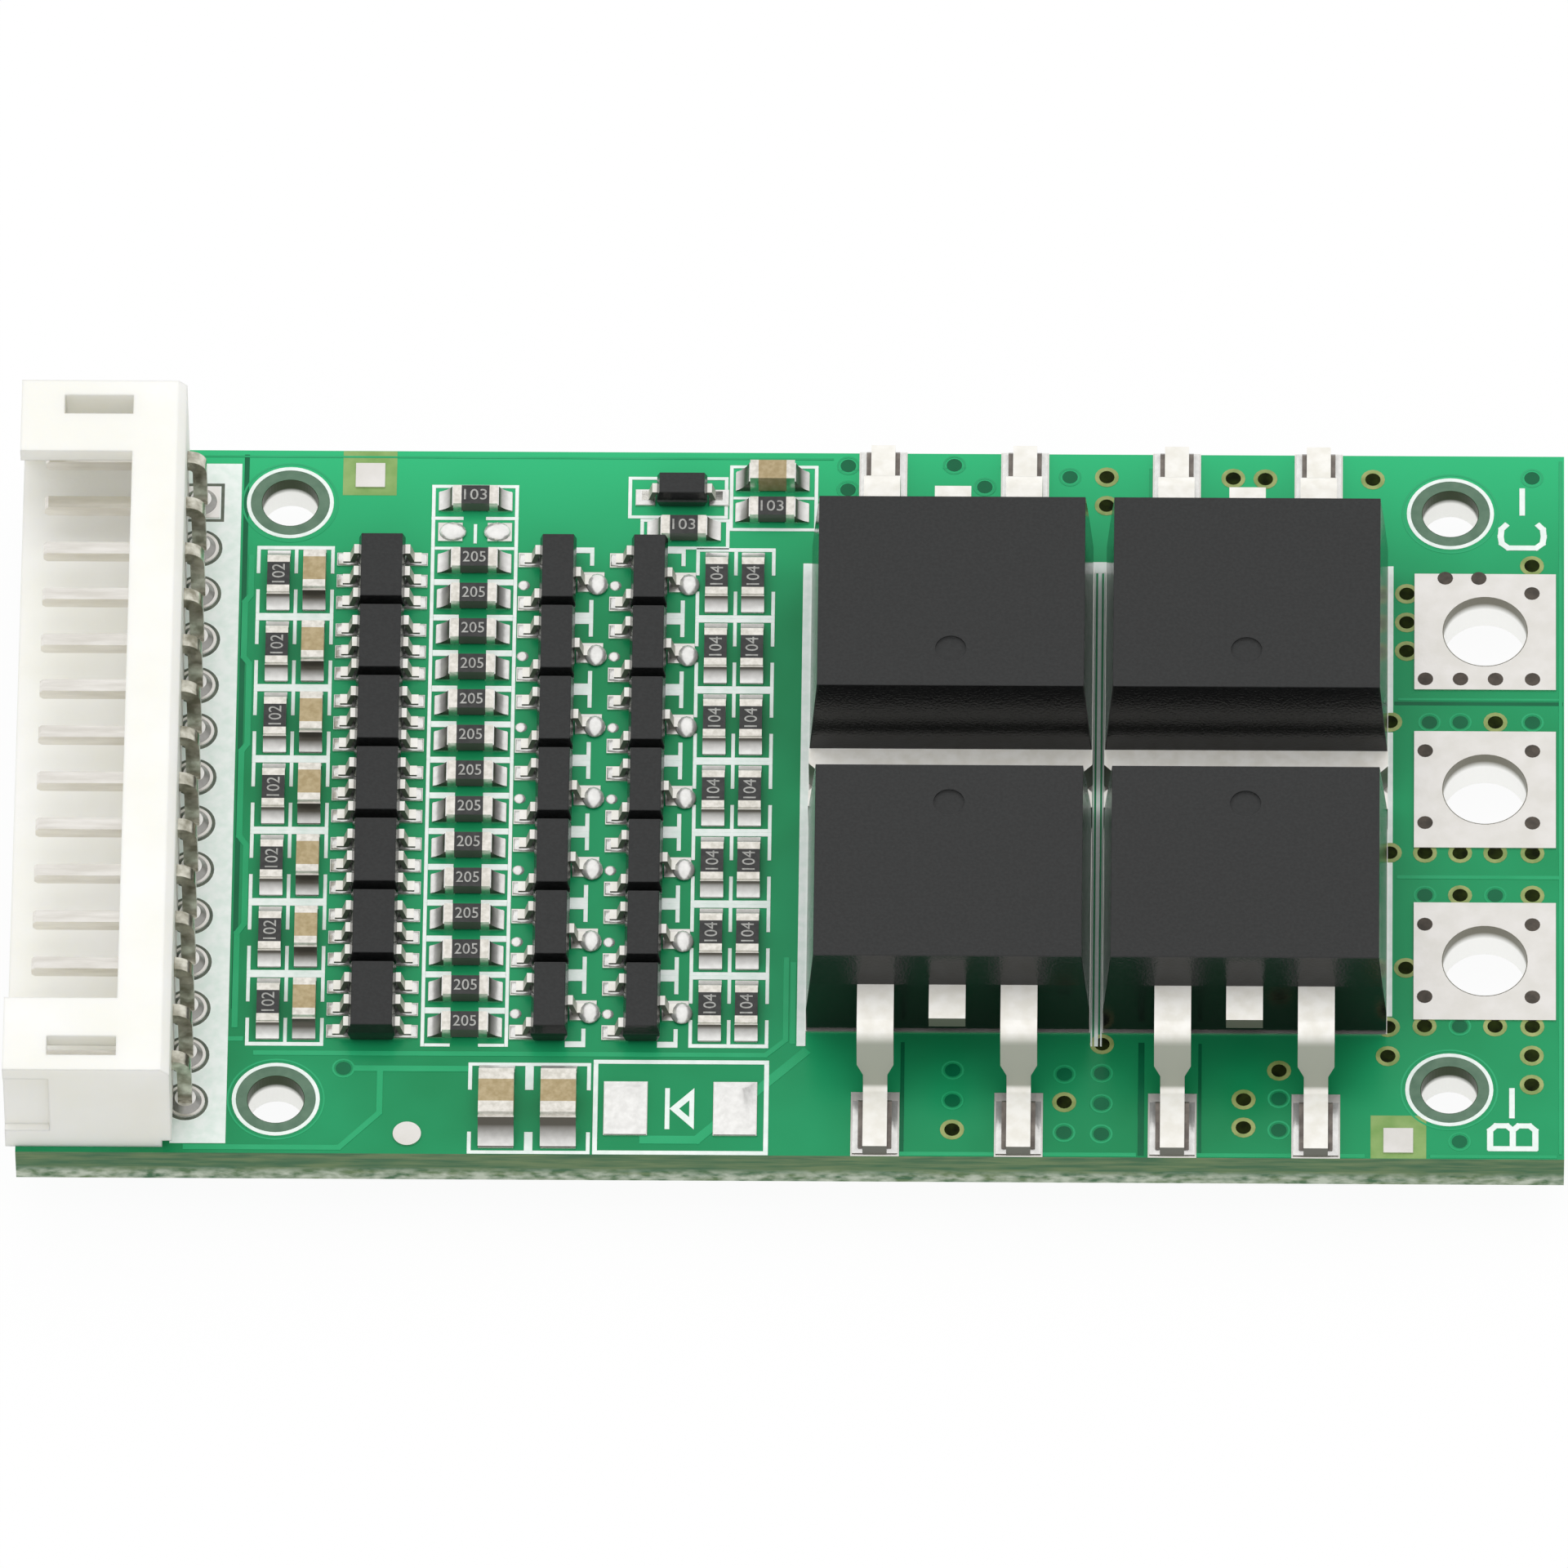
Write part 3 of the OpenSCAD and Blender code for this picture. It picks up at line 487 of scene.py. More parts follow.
# In the tinned lands: a row at the front of the first one, the corners of the others, and three
# at the back of the first.
land_places = [(23.15, 9.85, 0), (24.35, 9.85, 0), (26.25, 9.2, 0)]
land_places += [(x, 5.45, 0) for x in via_columns[1:]]
land_places += [(via_columns[i], y, 0) for y in (2.32, -0.8, -5.2, -8.32) for i in (1, 4)]
land_top = 0.07
board_t = (pcb_high.z - pcb_low.z) / MM
dress(stamp(ring("via_rims", via_rim_r, via_rim_r - via_hole_r, 0.012, 16), open_places),
      via_rim)
dress(stamp(disc("via_holes", via_hole_r, 0.006), open_places), via_dark)
dress(stamp(disc("land_via_holes", via_hole_r, 0.004), land_places, land_top), via_tinned_painted_shade)
dress(stamp(ring("covered_vias", via_rim_r - 0.02, 0.07, 0.01, 16), covered_places), mask_over_copper_and_edge_highlight)
dress(stamp(disc("covered_via_dips", via_hole_r, 0.004), covered_places), mask_on_gap_and_painted_shade)
dress(stamp(ring("via_rims_below", via_rim_r, via_rim_r - via_hole_r, 0.012, 16),
            open_places, -board_t - 0.012), via_rim)
dress(stamp(disc("via_holes_below", via_hole_r, 0.006), open_places, -board_t - 0.006),
      via_dark)
dress(stamp(disc("land_via_holes_below", via_hole_r, 0.004), land_places,
            -board_t - land_top - 0.004), via_tinned_painted_shade)


# ---------- Screw holes and alignment marks ----------
# The mask is opened round the four drilled holes and round the two square alignment marks
# for the placing machine, so the bare olive laminate shows there.

bare_laminate, tree, shader, where = start_finish("bare olive laminate", 0.4)
noise = tint(tree, shader, where, 0.5, "50705A", "5E7C66")
roughen(tree, shader, noise, 0.005, 0.3)
hole_places = [(-18.22, 12.95, 0), (-18.22, -12.95, 0), (23.33, 12.71, 0), (23.33, -12.29, 0)]
dress(stamp(ring("hole_clearances", 1.42, 0.395, 0.004, 48), hole_places), bare_laminate)
dress(stamp(ring("hole_pour_edges", 1.74, 0.07, 0.01, 48), hole_places), mask_over_copper_and_edge_highlight)


def hole_wall(name, top_colour, low_colour, roughness, metallic, shade_from, shade_to):
    """A finish for a drilled wall, from one colour at its top to another below, heights in mm."""
    made, tree, shader, where = start_finish(name, roughness, metallic)
    level = add(tree, "ShaderNodeSeparateXYZ", links={0: where})
    depth = add(tree, "ShaderNodeMapRange", {"From Min": shade_to * MM, "From Max": shade_from * MM},
                {"Value": level.outputs["Z"]})
    colour = add(tree, "ShaderNodeMix", {6: linear(low_colour), 7: linear(top_colour)},
                 {0: depth.outputs[0]}, data_type="RGBA")
    tree.links.new(colour.outputs[2], shader.inputs["Base Color"])
    return made


# Screw hole wall: dark smeared resin at the rim, and a bright skin of plating below it.
drilled_wall = hole_wall("plated screw hole wall", "36422C", "FBFBF7", 0.4, 0.9, 1.1, 0.85)
dress(stamp(ring("screw_hole_walls", 1.024, 0.02, board_t - 0.004, 48), hole_places,
            -board_t + 0.002), drilled_wall)

mark_laminate, tree, shader, where = start_finish("bare laminate round a mark", 0.4)
tint(tree, shader, where, 0.8, "7AA055", "8FAE68")
mark_windows = [bar(-16.35, -14.42, 13.3, 15.24), bar(20.55, 22.52, -15.24, -13.4)]
openings = sketch("mark_openings", mark_windows, 0.006)
dress(stamp(openings, [(0, 0, 0)]), mark_laminate)


# ---------- Printed legend ----------
# White epoxy ink, screened 0.02 mm thick on the mask: frames round the small parts, rings
# round the screw holes, the solid block beside the header, and the terminals' letters.

ink_rise = 0.02
ink_line = 0.13

# Two-part white legend ink: matt, slightly uneven, with the green just showing at thin spots.
legend_ink, tree, shader, where = start_finish("white legend ink", 0.55)
noise = tint(tree, shader, where, 0.35, "E6F3EC", "F3FAF6")
roughen(tree, shader, noise, 0.004, 0.4)


def outline(x0, x1, y0, y1, line=ink_line):
    """Four bars round a rectangle, given by the middle of its lines."""
    h = line / 2
    return [bar(x0 - h, x1 + h, y1 - h, y1 + h), bar(x0 - h, x1 + h, y0 - h, y0 + h),
            bar(x0 - h, x0 + h, y0 + h, y1 - h), bar(x1 - h, x1 + h, y0 + h, y1 - h)]


def upright_bar(x, y0, y1, line=ink_line):
    """A bar across the board, from the middle of its line."""
    return bar(x - line / 2, x + line / 2, y0, y1)


# The seven alike rows of small parts, from the back edge on.
row_pitch = 3.1
rows = [9.5 - row_pitch * i for i in range(7)]
row_marks = []
for left, middle, right in ((-19.3, -17.95, -16.65), (-3.58, -2.22, -0.87)):
    for x in (left, middle, right):
        row_marks += [upright_bar(x, 0.35, 1.39), upright_bar(x, -1.39, -0.35)]
    for y0, y1 in ((1.39, 1.55), (-1.55, -1.39)):
        row_marks.append(bar(left - ink_line / 2, right + ink_line / 2, y0, y1))
for x in (-13.08, -10.1):
    row_marks.append(upright_bar(x, -1.55, 1.55))
for x0, x1 in ((-13.01, -12.1), (-11.1, -10.17)):
    row_marks += [bar(x0, x1, 1.42, 1.55), bar(x0, x1, -0.13, 0.13), bar(x0, x1, -1.55, -1.42)]
for x in (-8.57, -5.3):
    row_marks += [upright_bar(x + 1.2, 0.75, 1.3, 0.15), upright_bar(x + 1.2, -1.3, -0.75, 0.15),
                  bar(x + 0.55, x + 1.275, 1.3, 1.55), bar(x + 0.55, x + 1.275, -1.55, -1.3)]
row_legend = stamp(sketch("row_legend", row_marks, ink_rise), [(0, y, 0) for y in rows])
dress(row_legend, legend_ink)

single_marks = [bar(-21.95, -19.97, -14.85, 14.65)]
single_marks += [bar(-13.15, -10.03, 13.63, 13.77), bar(-13.15, -12.0, 12.23, 12.37),
                 bar(-11.2, -10.03, 12.23, 12.37), upright_bar(-13.08, 11.05, 12.23),
                 upright_bar(-13.08, 12.37, 13.63), upright_bar(-10.1, 11.05, 12.23),
                 upright_bar(-10.1, 12.37, 13.63), upright_bar(-11.57, 11.2, 12.05, 0.12)]
single_marks += outline(-6.05, -2.6, 12.4, 14.1) + outline(-5.6, -2.53, 11.05, 12.25)
single_marks += outline(-2.42, 0.62, 11.87, 14.62)
single_marks += [bar(-2.35, -1.6, 13.19, 13.31), bar(-0.3, 0.55, 13.19, 13.31)]
single_marks += [bar(-11.42, -7.07, -11.47, -11.33), bar(-11.42, -7.07, -15.24, -15.1)]
for x, line in ((-11.35, 0.14), (-9.25, 0.3), (-7.14, 0.14)):
    single_marks += [upright_bar(x, -12.5, -11.47, line), upright_bar(x, -15.1, -14.3, line)]
single_marks += outline(-6.9, -0.85, -15.16, -11.27, 0.17)
single_marks += [upright_bar(0.35, -10.55, 10.4, 0.32), upright_bar(21.2, -9.15, -2.5, 0.2),
                 upright_bar(21.2, -1.65, 3.15, 0.2), upright_bar(21.2, 4.0, 10.4, 0.2),
                 upright_bar(10.81, -10.5, 10.03, 0.14),
                 upright_bar(10.64, -10.5, 10.03, 0.06), upright_bar(10.98, -10.5, 10.03, 0.06),
                 bar(10.27, 11.24, 10.03, 10.52)]
single_marks += [upright_bar(-4.35, -14.15, -12.39, 0.17), upright_bar(25.9, 12.65, 13.85, 0.2),
                 upright_bar(25.55, -13.5, -12.2, 0.2)]
dress(stamp(sketch("legend_frames", single_marks, ink_rise), [(0, 0, 0)]), legend_ink)

dress(stamp(ring("hole_rings", 1.56, 0.14, ink_rise, 48), hole_places), legend_ink)

diode_symbol = ring("diode_symbol", 0.58, 0.17, ink_rise, 3)
diode_symbol.data.transform(Matrix.Diagonal((1, 1.76, 1, 1))
                            @ Matrix.Rotation(math.radians(90), 4, "Z"))
dress(stamp(diode_symbol, [(-3.69, -13.27, 0)]), legend_ink)


def letters(name, words, width, height, rise):
    """Lettering as a mesh, fitted to a size in mm, with its middle at the origin."""
    bpy.ops.object.select_all(action="DESELECT")
    bpy.ops.object.text_add()
    piece = bpy.context.object
    piece.name = name
    piece.data.body = words
    piece.data.resolution_u = 3
    bpy.ops.object.convert(target="MESH")
    bpy.ops.object.mode_set(mode="EDIT")
    bpy.ops.mesh.select_all(action="SELECT")
    bpy.ops.mesh.extrude_region_move(TRANSFORM_OT_translate={"value": (0, 0, 1)})
    bpy.ops.object.mode_set(mode="OBJECT")
    xs = [v.co.x for v in piece.data.vertices]
    ys = [v.co.y for v in piece.data.vertices]
    to_middle = Matrix.Translation((-(min(xs) + max(xs)) / 2, -(min(ys) + max(ys)) / 2, 0))
    fit = Matrix.Diagonal((width / (max(xs) - min(xs)), height / (max(ys) - min(ys)), rise, 1))
    piece.data.transform(fit @ to_middle)
    return piece


# Each letter is one or more pen strokes, and lies on its side.
letter_line = 0.22
letter_c = [(-0.58, 0.5), (-0.74, 0.32), (-0.77, 0.0), (-0.73, -0.3), (-0.5, -0.5), (0.5, -0.5),
            (0.73, -0.3), (0.77, 0.0), (0.74, 0.32), (0.58, 0.5)]
dress(stamp(sketch("terminal_letter_c", run(letter_c, letter_line), ink_rise), [(25.9, 11.73, 0)]),
      legend_ink)
letter_b = [[(-0.8, -0.5), (0.8, -0.5)],
            [(-0.8, -0.5), (-0.8, 0.28), (-0.6, 0.48), (-0.2, 0.48), (0, 0.28), (0, -0.5)],
            [(0, 0.28), (0.2, 0.48), (0.6, 0.48), (0.8, 0.28), (0.8, -0.5)]]
strokes = [shape for points in letter_b for shape in run(points, letter_line)]
dress(stamp(sketch("terminal_letter_b", strokes, ink_rise), [(25.58, -14.3, 0)]), legend_ink)

# Thin lines left open in the solid block round each contact: mask shows there, in shade.
block_gap, tree, shader, where = start_finish("shaded gap in the legend", 0.5)
tint(tree, shader, where, 0.4, "4A5449", "636A5C")
leg_x = -21.42
contact_pitch = 2
contact_ys = [12.93 - contact_pitch * i for i in range(14)]
round_places = [(leg_x, y, 0) for y in contact_ys[1:]]
dress(stamp(ring("contact_rings", 0.81, 0.12, 0.003, 32), round_places, ink_rise), block_gap)
dress(stamp(sketch("contact_square", outline(-0.78, 0.78, -0.78, 0.78, 0.12), 0.003),
            [(leg_x, contact_ys[0], 0)], ink_rise), block_gap)


# ---------- Lands and terminals ----------
# Copper pads left free of mask and hot-air levelled with tin: even, silky and a little warm.
# The terminal holes are plated through, and their walls are tinned too.

tin_level, tree, shader, where = start_finish("hot-air levelled tin", 0.38, 1.0)
tint(tree, shader, where, 0.9, "E4E1DB", "ECE9E5")
grain = lumps(tree, where, 0.12)
roughen(tree, shader, grain, 0.004, 0.35)
for name in ("header_lands", "terminal_land_1", "terminal_land_2", "terminal_land_3", "fet_lands",
             "surface_lands"):
    dress_node(name, tin_level)

barrel = ring("terminal_plating", 1.522, 0.03, board_t + 2 * land_top, 64)
terminal_middles = []
for name in ("terminal_land_1", "terminal_land_2", "terminal_land_3"):
    low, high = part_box(name)
    terminal_middles.append((((low.x + high.x) / 2 - board_mid.x) / MM,
                             ((low.y + high.y) / 2 - board_mid.y) / MM, 0))
# Tin over the plated wall: grey under the rim, where little light comes, and bright below.
plated_wall = hole_wall("tinned hole wall", "7E7C70", "FDFDFA", 0.4, 1.0, 1.3, 0.95)
dress(stamp(barrel, terminal_middles, -board_t - land_top), plated_wall)


# ---------- Cell header ----------
# Side-entry wire-to-board header of natural nylon 66, injection moulded: milky white, faintly
# see-through, with soft corners. Its square tinned contacts are pressed through the back wall.

natural_nylon, tree, shader, where = start_finish("natural nylon 66", 0.42)
shader.inputs["Subsurface Weight"].default_value = 0.35
shader.inputs["Subsurface Radius"].default_value = (0.9, 0.85, 0.7)
shader.inputs["Subsurface Scale"].default_value = 0.001
tint(tree, shader, where, 4, "F5F4EC", "FAF9F4")
grain = lumps(tree, where, 0.15)
roughen(tree, shader, grain, 0.006, 0.25, corner=0.12)
dress_node("header_housing", natural_nylon)

# Drawn brass wire with bright tin plate: faint drawing lines along the wire. Behind the
# header the bent legs are painted darker: painted shade, for the header's shadow over them.
tinned_wire, tree, shader, where = start_finish("bright tinned wire", 0.25, 1.0)
colour, noise = speckle(tree, where, 0.3, "DCD8D0", "ECE9E3", (0.15, 1, 1))
place = add(tree, "ShaderNodeSeparateXYZ", links={0: where})
header_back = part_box("header_housing")[1].x
behind_header_in_shade = add(tree, "ShaderNodeMath", {1: header_back}, {0: place.outputs["X"]},
          operation="GREATER_THAN")
# Painted shade: the legs behind the header get a darker grey-olive.
painted_shade_leg_colour = speckle(tree, where, 0.5, "8F8C7B", "DAD8CA")[0]
wire_and_painted_shade_colour = add(tree, "ShaderNodeMix", links={0: behind_header_in_shade.outputs[0], 6: colour, 7: painted_shade_leg_colour},
                  data_type="RGBA")
tree.links.new(wire_and_painted_shade_colour.outputs[2], shader.inputs["Base Color"])
roughen(tree, shader, noise, 0.004, 0.3)
for i in range(1, 15):
    dress_node(f"header_pin_{i}", tinned_wire)


def solder_finish(name, painted_dark_below, bright_above):
    """Solder coloured by the upward part of the surface's direction: bright where it lies flat
    and painted dark where it is steep, a painted reflection of the dark that steep metal
    mirrors. Faces turned down, as on the cones under the board, are kept bright as well."""
    made, tree, shader, where = start_finish(name, 0.25, 0.65)
    bright = speckle(tree, where, 0.25, "E8E7E4", "F6F5F2")[0]
    up = upward(tree)
    downward = add(tree, "ShaderNodeMath", {1: -2.0}, {0: up}, operation="MULTIPLY")
    level = add(tree, "ShaderNodeMath", links={0: up, 1: downward.outputs[0]},
                operation="MAXIMUM")
    flatness = add(tree, "ShaderNodeMapRange", {"From Min": painted_dark_below, "From Max": bright_above},
                   {"Value": level.outputs[0]})
    # Painted reflection: steep solder is coloured dark grey.
    mix = add(tree, "ShaderNodeMix", {6: linear("56534B")}, {0: flatness.outputs[0], 7: bright},
              data_type="RGBA")
    tree.links.new(mix.outputs[2], shader.inputs["Base Color"])
    roughen(tree, shader, lumps(tree, where, 0.2), 0.005, 0.35)
    return made


# Reflowed tin solder with a slightly frosted skin, and solder drawn up in a hollow curve.
solder = solder_finish("reflowed solder", 0.2, 0.55)
climbing_solder = solder_finish("reflowed solder drawn up hollow", 0.6, 0.95)
dress_node("header_solder", climbing_solder)


# ---------- Power transistors ----------
# Square surface-mount packages of black epoxy moulding compound on a copper drain tab. The
# leads and tab are matt tin plated, and the tops are left as they leave the mould.

# Black epoxy compound with silica filler: very fine matt grain on top, and smoother, darker
# sides where the mould has polished them.
epoxy_compound, tree, shader, where = start_finish("black epoxy moulding compound", 0.52)
tint(tree, shader, where, 0.12, "151616", "1E1F1F")
grain = lumps(tree, where, 0.09, detail=6.0)
roughen(tree, shader, grain, 0.008, 0.3, corner=0.08)
polish = add(tree, "ShaderNodeMapRange",
             {"From Min": 0.2, "From Max": 0.6, "To Min": 0.12, "To Max": 0.52},
             {"Value": upward(tree)})
tree.links.new(polish.outputs[0], shader.inputs["Roughness"])

# Matt tin plate over the stamped copper frame: satin and nearly white where it lies flat,
# with faint handling marks. Where it turns from flat it is painted greyer, and near-vertical
# faces are painted dark: painted shade by slope, though the sheared cut edges are duller in fact
# too.
matt_tin, tree, shader, where = start_finish("matt tin plate", 0.4, 0.15)
colour, noise = speckle(tree, where, 0.5, "F0EDE4", "FBF9F3")
up = upward(tree)
# Painted shade by slope: faces turning from upward are coloured greyer, near-vertical ones dark.
painted_light_by_slope = add(tree, "ShaderNodeMapRange", {"From Min": 0.35, "From Max": 0.8}, {"Value": up})
tin_with_painted_slope_shade = add(tree, "ShaderNodeMix", {6: linear("A9AC9F")}, {0: painted_light_by_slope.outputs[0], 7: colour},
                 data_type="RGBA")
steep_painted_shade = add(tree, "ShaderNodeMapRange", {"From Min": 0.02, "From Max": 0.2}, {"Value": up})
tin_with_painted_steep_shade = add(tree, "ShaderNodeMix", {6: linear("64655B")},
                 {0: steep_painted_shade.outputs[0], 7: tin_with_painted_slope_shade.outputs[2]}, data_type="RGBA")
tree.links.new(tin_with_painted_steep_shade.outputs[2], shader.inputs["Base Color"])
roughen(tree, shader, noise, 0.006, 0.3)
for i in range(1, 5):
    dress_node(f"fet_{i}_body", epoxy_compound)
    dress_node(f"fet_{i}_drain_tab", matt_tin)
    dress_node(f"fet_{i}_leads", matt_tin)


def solder_cushion(name, length, width, rise, edge):
    """Solder drawn up round a foot: a low block whose top edges sink to the land, in mm."""
    bpy.ops.object.select_all(action="DESELECT")
    bpy.ops.mesh.primitive_cube_add(size=1, location=(0, 0, 0), scale=(length, width, rise))
    piece = bpy.context.object
    piece.name = name
    piece.data.transform(Matrix.Translation((0, 0, rise / 2)))
    rim_share = 0.12
    for face in piece.data.polygons:
        face.select = face.normal.z > 0.5
    for edge_line in piece.data.edges:
        edge_line.select = all(piece.data.vertices[i].co.z > rise / 2 for i in edge_line.vertices)
    for vertex in piece.data.vertices:
        vertex.select = vertex.co.z > rise / 2
    bpy.ops.object.mode_set(mode="EDIT")
    bpy.ops.mesh.select_mode(type="FACE")
    bpy.ops.mesh.inset(thickness=edge * 0.5)
    bpy.ops.mesh.inset(thickness=edge * 0.5)
    bpy.ops.object.mode_set(mode="OBJECT")
    for vertex in piece.data.vertices:
        if vertex.co.z > rise / 2:
            inward = max(0, min(length / 2 - abs(vertex.co.x), width / 2 - abs(vertex.co.y)))
            vertex.co.z = rise * (rim_share + (1 - rim_share) * min(1, inward / edge) ** 1.7)
    bpy.ops.object.shade_smooth_by_angle(angle=math.radians(60))
    return piece


# A cushion's middle, inward from the outer side and from the tip of its lead.
half_lead = 0.65
inboard = 1.13
foot_places = []
for i in range(1, 5):
    low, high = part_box(f"fet_{i}_leads")
    x0 = (low.x - board_mid.x) / MM + half_lead
    x1 = (high.x - board_mid.x) / MM - half_lead
    back_row = high.y > board_mid.y and high.y - board_mid.y > board_mid.y - low.y
    y = (high.y - board_mid.y) / MM - inboard if back_row else (low.y - board_mid.y) / MM + inboard
    foot_places += [(x0, y, 90), (x1, y, 90)]
feet = stamp(solder_cushion("foot_solder", 2.25, 1.6, 0.38, 0.36), foot_places, land_top)
dress(feet, climbing_solder)
# Painted shade along both sides of each foot, where it leaves the solder: brown-grey bars
# that stand for the dark grooves there.
painted_foot_side_shade, tree, shader, where = start_finish("painted shade beside the feet", 0.35)
tint(tree, shader, where, 0.4, "5E5650", "7C746C")
foot_side_shade_bars = [bar(-1.0, 1.0, 0.43, 0.56), bar(-1.0, 1.0, -0.56, -0.43)]
dress(stamp(sketch("foot_side_shade", foot_side_shade_bars, 0.42), foot_places, land_top), painted_foot_side_shade)


# ---------- Small moulded packages ----------
# Monitors, level-shift transistors and the clamp diode: small epoxy mouldings with gull-wing
# leads, reflowed on their lands. Each lead stands in a bright bead of solder.

for name in [f"cell_monitor_{i}" for i in range(1, 8)] + ["shifter_transistors_a",
             "shifter_transistors_b", "clamp_diode"]:
    dress_node(name, epoxy_compound)
for name in ("cell_monitor_leads", "shifter_leads", "clamp_diode_leads"):
    dress_node(name, matt_tin)

monitor_x = -14.87
shifter_xs = (-8.57, -5.3)
clamp_x = -4.18
lead_places = []
for y in rows:
    for n in (-0.95, 0, 0.95):
        lead_places += [(monitor_x + 1.2, y + n, 0), (monitor_x - 1.2, y + n, 0)]
    for x in shifter_xs:
        lead_places += [(x - 1.0, y - 0.95, 0), (x - 1.0, y + 0.95, 0)]
lead_solder = stamp(solder_cushion("lead_solder", 0.8, 0.5, 0.12, 0.1), lead_places, land_top)
dress(lead_solder, solder)


def solder_dome(name, length, width, rise):
    """A bead of solder: the top half of a squashed ball, in mm."""
    bpy.ops.object.select_all(action="DESELECT")
    bpy.ops.mesh.primitive_uv_sphere_add(segments=16, ring_count=8, radius=0.5,
                                         scale=(length, width, 2 * rise))
    piece = bpy.context.object
    piece.name = name
    bpy.ops.object.mode_set(mode="EDIT")
    bpy.ops.mesh.select_all(action="SELECT")
    bpy.ops.mesh.bisect(plane_co=(0, 0, 0.02 * rise), plane_no=(0, 0, 1), use_fill=True,
                        clear_inner=True)
    bpy.ops.object.mode_set(mode="OBJECT")
    bpy.ops.object.shade_smooth_by_angle(angle=math.radians(50))
    return piece


bead_places = [(x + 1.4, y - 0.12, 0) for y in rows for x in shifter_xs]
dot_places = [(x - 1.22, y - 0.12, 0) for y in rows for x in shifter_xs]
dress(stamp(solder_dome("test_dots", 0.44, 0.42, 0.08), dot_places), solder)
collector_solder = stamp(solder_dome("collector_solder", 0.8, 0.9, 0.24), bead_places, land_top)
dress(collector_solder, solder)
dress(stamp(solder_cushion("clamp_diode_solder", 0.66, 0.66, 0.14, 0.14),
            [(clamp_x - 1.32, 13.22, 0), (clamp_x + 1.32, 13.22, 0)], land_top), solder)


# ---------- Chip parts ----------
# Chip resistors have a black glazed film with a printed value, and chip capacitors are tan
# barium-titanate ceramic. Both have silvered ends and stand in hollow solder fillets.

# Glazed film over the resistor: smooth black glass on the top of a ceramic chip. The chip's sides
# are given mid-grey, darker than the ceramic's own white: painted shade.
resistor_glaze, tree, shader, where = start_finish("black resistor glaze", 0.3)
colour, noise = speckle(tree, where, 0.2, "232323", "323231")
on_top = add(tree, "ShaderNodeMath", {1: 0.5}, {0: upward(tree)}, operation="GREATER_THAN")
glaze_and_painted_side_shade = add(tree, "ShaderNodeMix", {6: linear("55554F")}, {0: on_top.outputs[0], 7: colour},
                  data_type="RGBA")
tree.links.new(glaze_and_painted_side_shade.outputs[2], shader.inputs["Base Color"])
roughen(tree, shader, noise, 0.004, 0.3)
for name in ("input_resistors", "shifter_resistors", "gate_resistors", "supply_resistors"):
    dress_node(name, resistor_glaze)

# Fired ceramic of a capacitor: tan, dull, with a fine grain.
tan_ceramic, tree, shader, where = start_finish("tan capacitor ceramic", 0.5)
noise = tint(tree, shader, where, 0.2, "A5926A", "B8A681")
roughen(tree, shader, noise, 0.005, 0.4)
for name in ("filter_capacitors", "bulk_capacitors"):
    dress_node(name, tan_ceramic)

# Fired silver end under tin: bright and slightly lumpy.
tinned_end, tree, shader, where = start_finish("tinned chip end", 0.3, 1.0)
noise = tint(tree, shader, where, 0.2, "D8D4CA", "F2EEE6")
roughen(tree, shader, noise, 0.008, 0.4)
dress_node("chip_terminations", tinned_end)


def solder_fillet(name, heel, width, rise):
    """A hollow fillet against a chip's end at x = 0, reaching out to x = heel, in mm."""
    bpy.ops.object.select_all(action="DESELECT")
    bpy.ops.mesh.primitive_cube_add(size=1)
    piece = bpy.context.object
    piece.name = name
    piece.data.transform(Matrix.Translation((0.5, 0, 0.5)))
    for part in list(piece.data.vertices) + list(piece.data.edges) + list(piece.data.polygons):
        part.select = False
    for edge in piece.data.edges:
        ends = [piece.data.vertices[i] for i in edge.vertices]
        if all(end.co.x > 0.9 and end.co.z > 0.9 for end in ends):
            edge.select = True
            ends[0].select = ends[1].select = True
    bpy.ops.object.mode_set(mode="EDIT")
    bpy.ops.mesh.select_mode(type="EDGE")
    bpy.ops.mesh.bevel(offset=0.93, segments=6, profile=0.16)
    bpy.ops.object.mode_set(mode="OBJECT")
    piece.data.transform(Matrix.Diagonal((heel, width, rise, 1)))
    bpy.ops.object.shade_smooth_by_angle(angle=math.radians(40))
    return piece


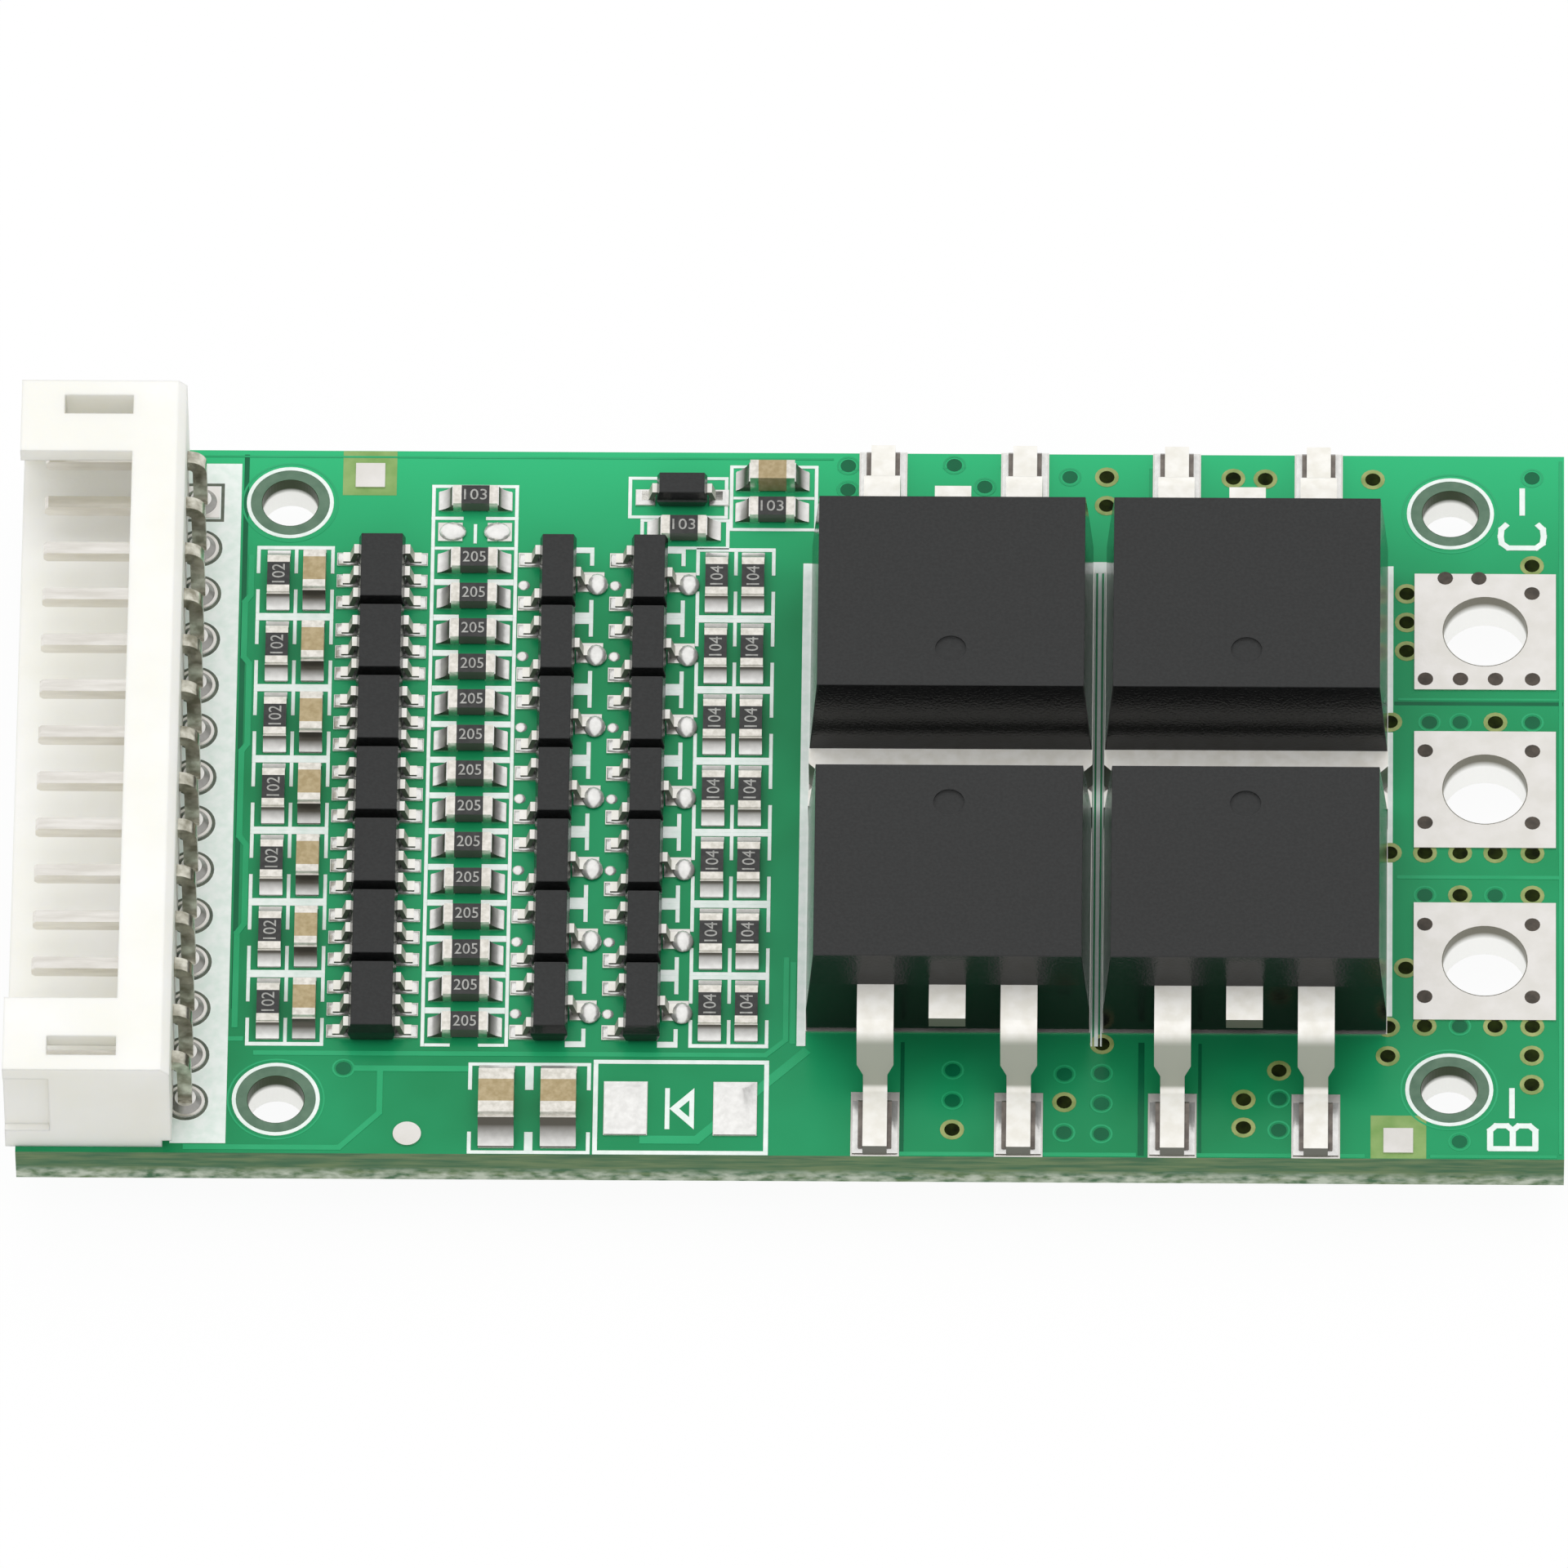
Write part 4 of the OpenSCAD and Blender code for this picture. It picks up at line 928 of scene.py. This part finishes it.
def chip_ends(chips, length):
    """Places of the fillets at both ends of chips given by x, y and turn."""
    places = []
    for x, y, turn in chips:
        for way in (turn, turn + 180):
            reach = length / 2
            places.append((x + reach * math.cos(math.radians(way)),
                           y + reach * math.sin(math.radians(way)), way))
    return places


input_chips = [(-18.57, y, 90) for y in rows]
gate_chips = [(x, y, 90) for y in rows for x in (-2.9, -1.6)]
shifter_chips = [(-11.58, y + half, 0) for y in rows for half in (0.775, -0.775)]
lone_chips = [(-11.58, 13, 0), (-4.1, 11.74, 0), (-0.95, 12.57, 0)]
filter_chips = [(-17.28, y, 90) for y in rows] + [(-0.95, 13.93, 0)]
bulk_chips = [(-10.4, -13.25, 90), (-8.2, -13.25, 90)]
thin_chips = input_chips + gate_chips + shifter_chips + lone_chips
chip_reach = 1.6
bulk_reach = 1.86
thin_fillets = stamp(solder_fillet("resistor_fillets", 0.5, 0.82, 0.36),
                     chip_ends(thin_chips, chip_reach), land_top)
dress(thin_fillets, climbing_solder)
tall_fillets = stamp(solder_fillet("filter_fillets", 0.5, 0.82, 0.6),
                     chip_ends(filter_chips, chip_reach), land_top)
dress(tall_fillets, climbing_solder)
bulk_fillets = stamp(solder_fillet("bulk_fillets", 0.8, 1.27, 0.78),
                     chip_ends(bulk_chips, bulk_reach), land_top)
dress(bulk_fillets, climbing_solder)
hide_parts("solder_fillets")

# Solder on the lands of the two parts left off.
spare_beads = stamp(solder_dome("spare_land_solder", 0.98, 0.8, 0.2),
                    [(-12.38, 11.67, 0), (-10.78, 11.67, 0)], land_top)
dress(spare_beads, solder)
diode_beads = stamp(solder_cushion("spare_diode_solder", 1.5, 2.25, 0.24, 0.42),
                    [(-5.83, -13.3, 0), (-1.95, -13.3, 0)], land_top)
dress(diode_beads, solder)

# Value digits: pale grey epoxy ink on the glaze.
digit_ink, tree, shader, where = start_finish("pale digit ink", 0.5)
tint(tree, shader, where, 0.2, "969692", "B4B4B0")
resistor_h = 0.45
chip_top = land_top + resistor_h
for name, words, chips in (("input_digits", "102", input_chips), ("gate_digits", "104", gate_chips),
                           ("shifter_digits", "205", shifter_chips),
                           ("lone_digits", "103", lone_chips)):
    dress(stamp(letters(name, words, 0.82, 0.46, 0.01), chips, chip_top), digit_ink)
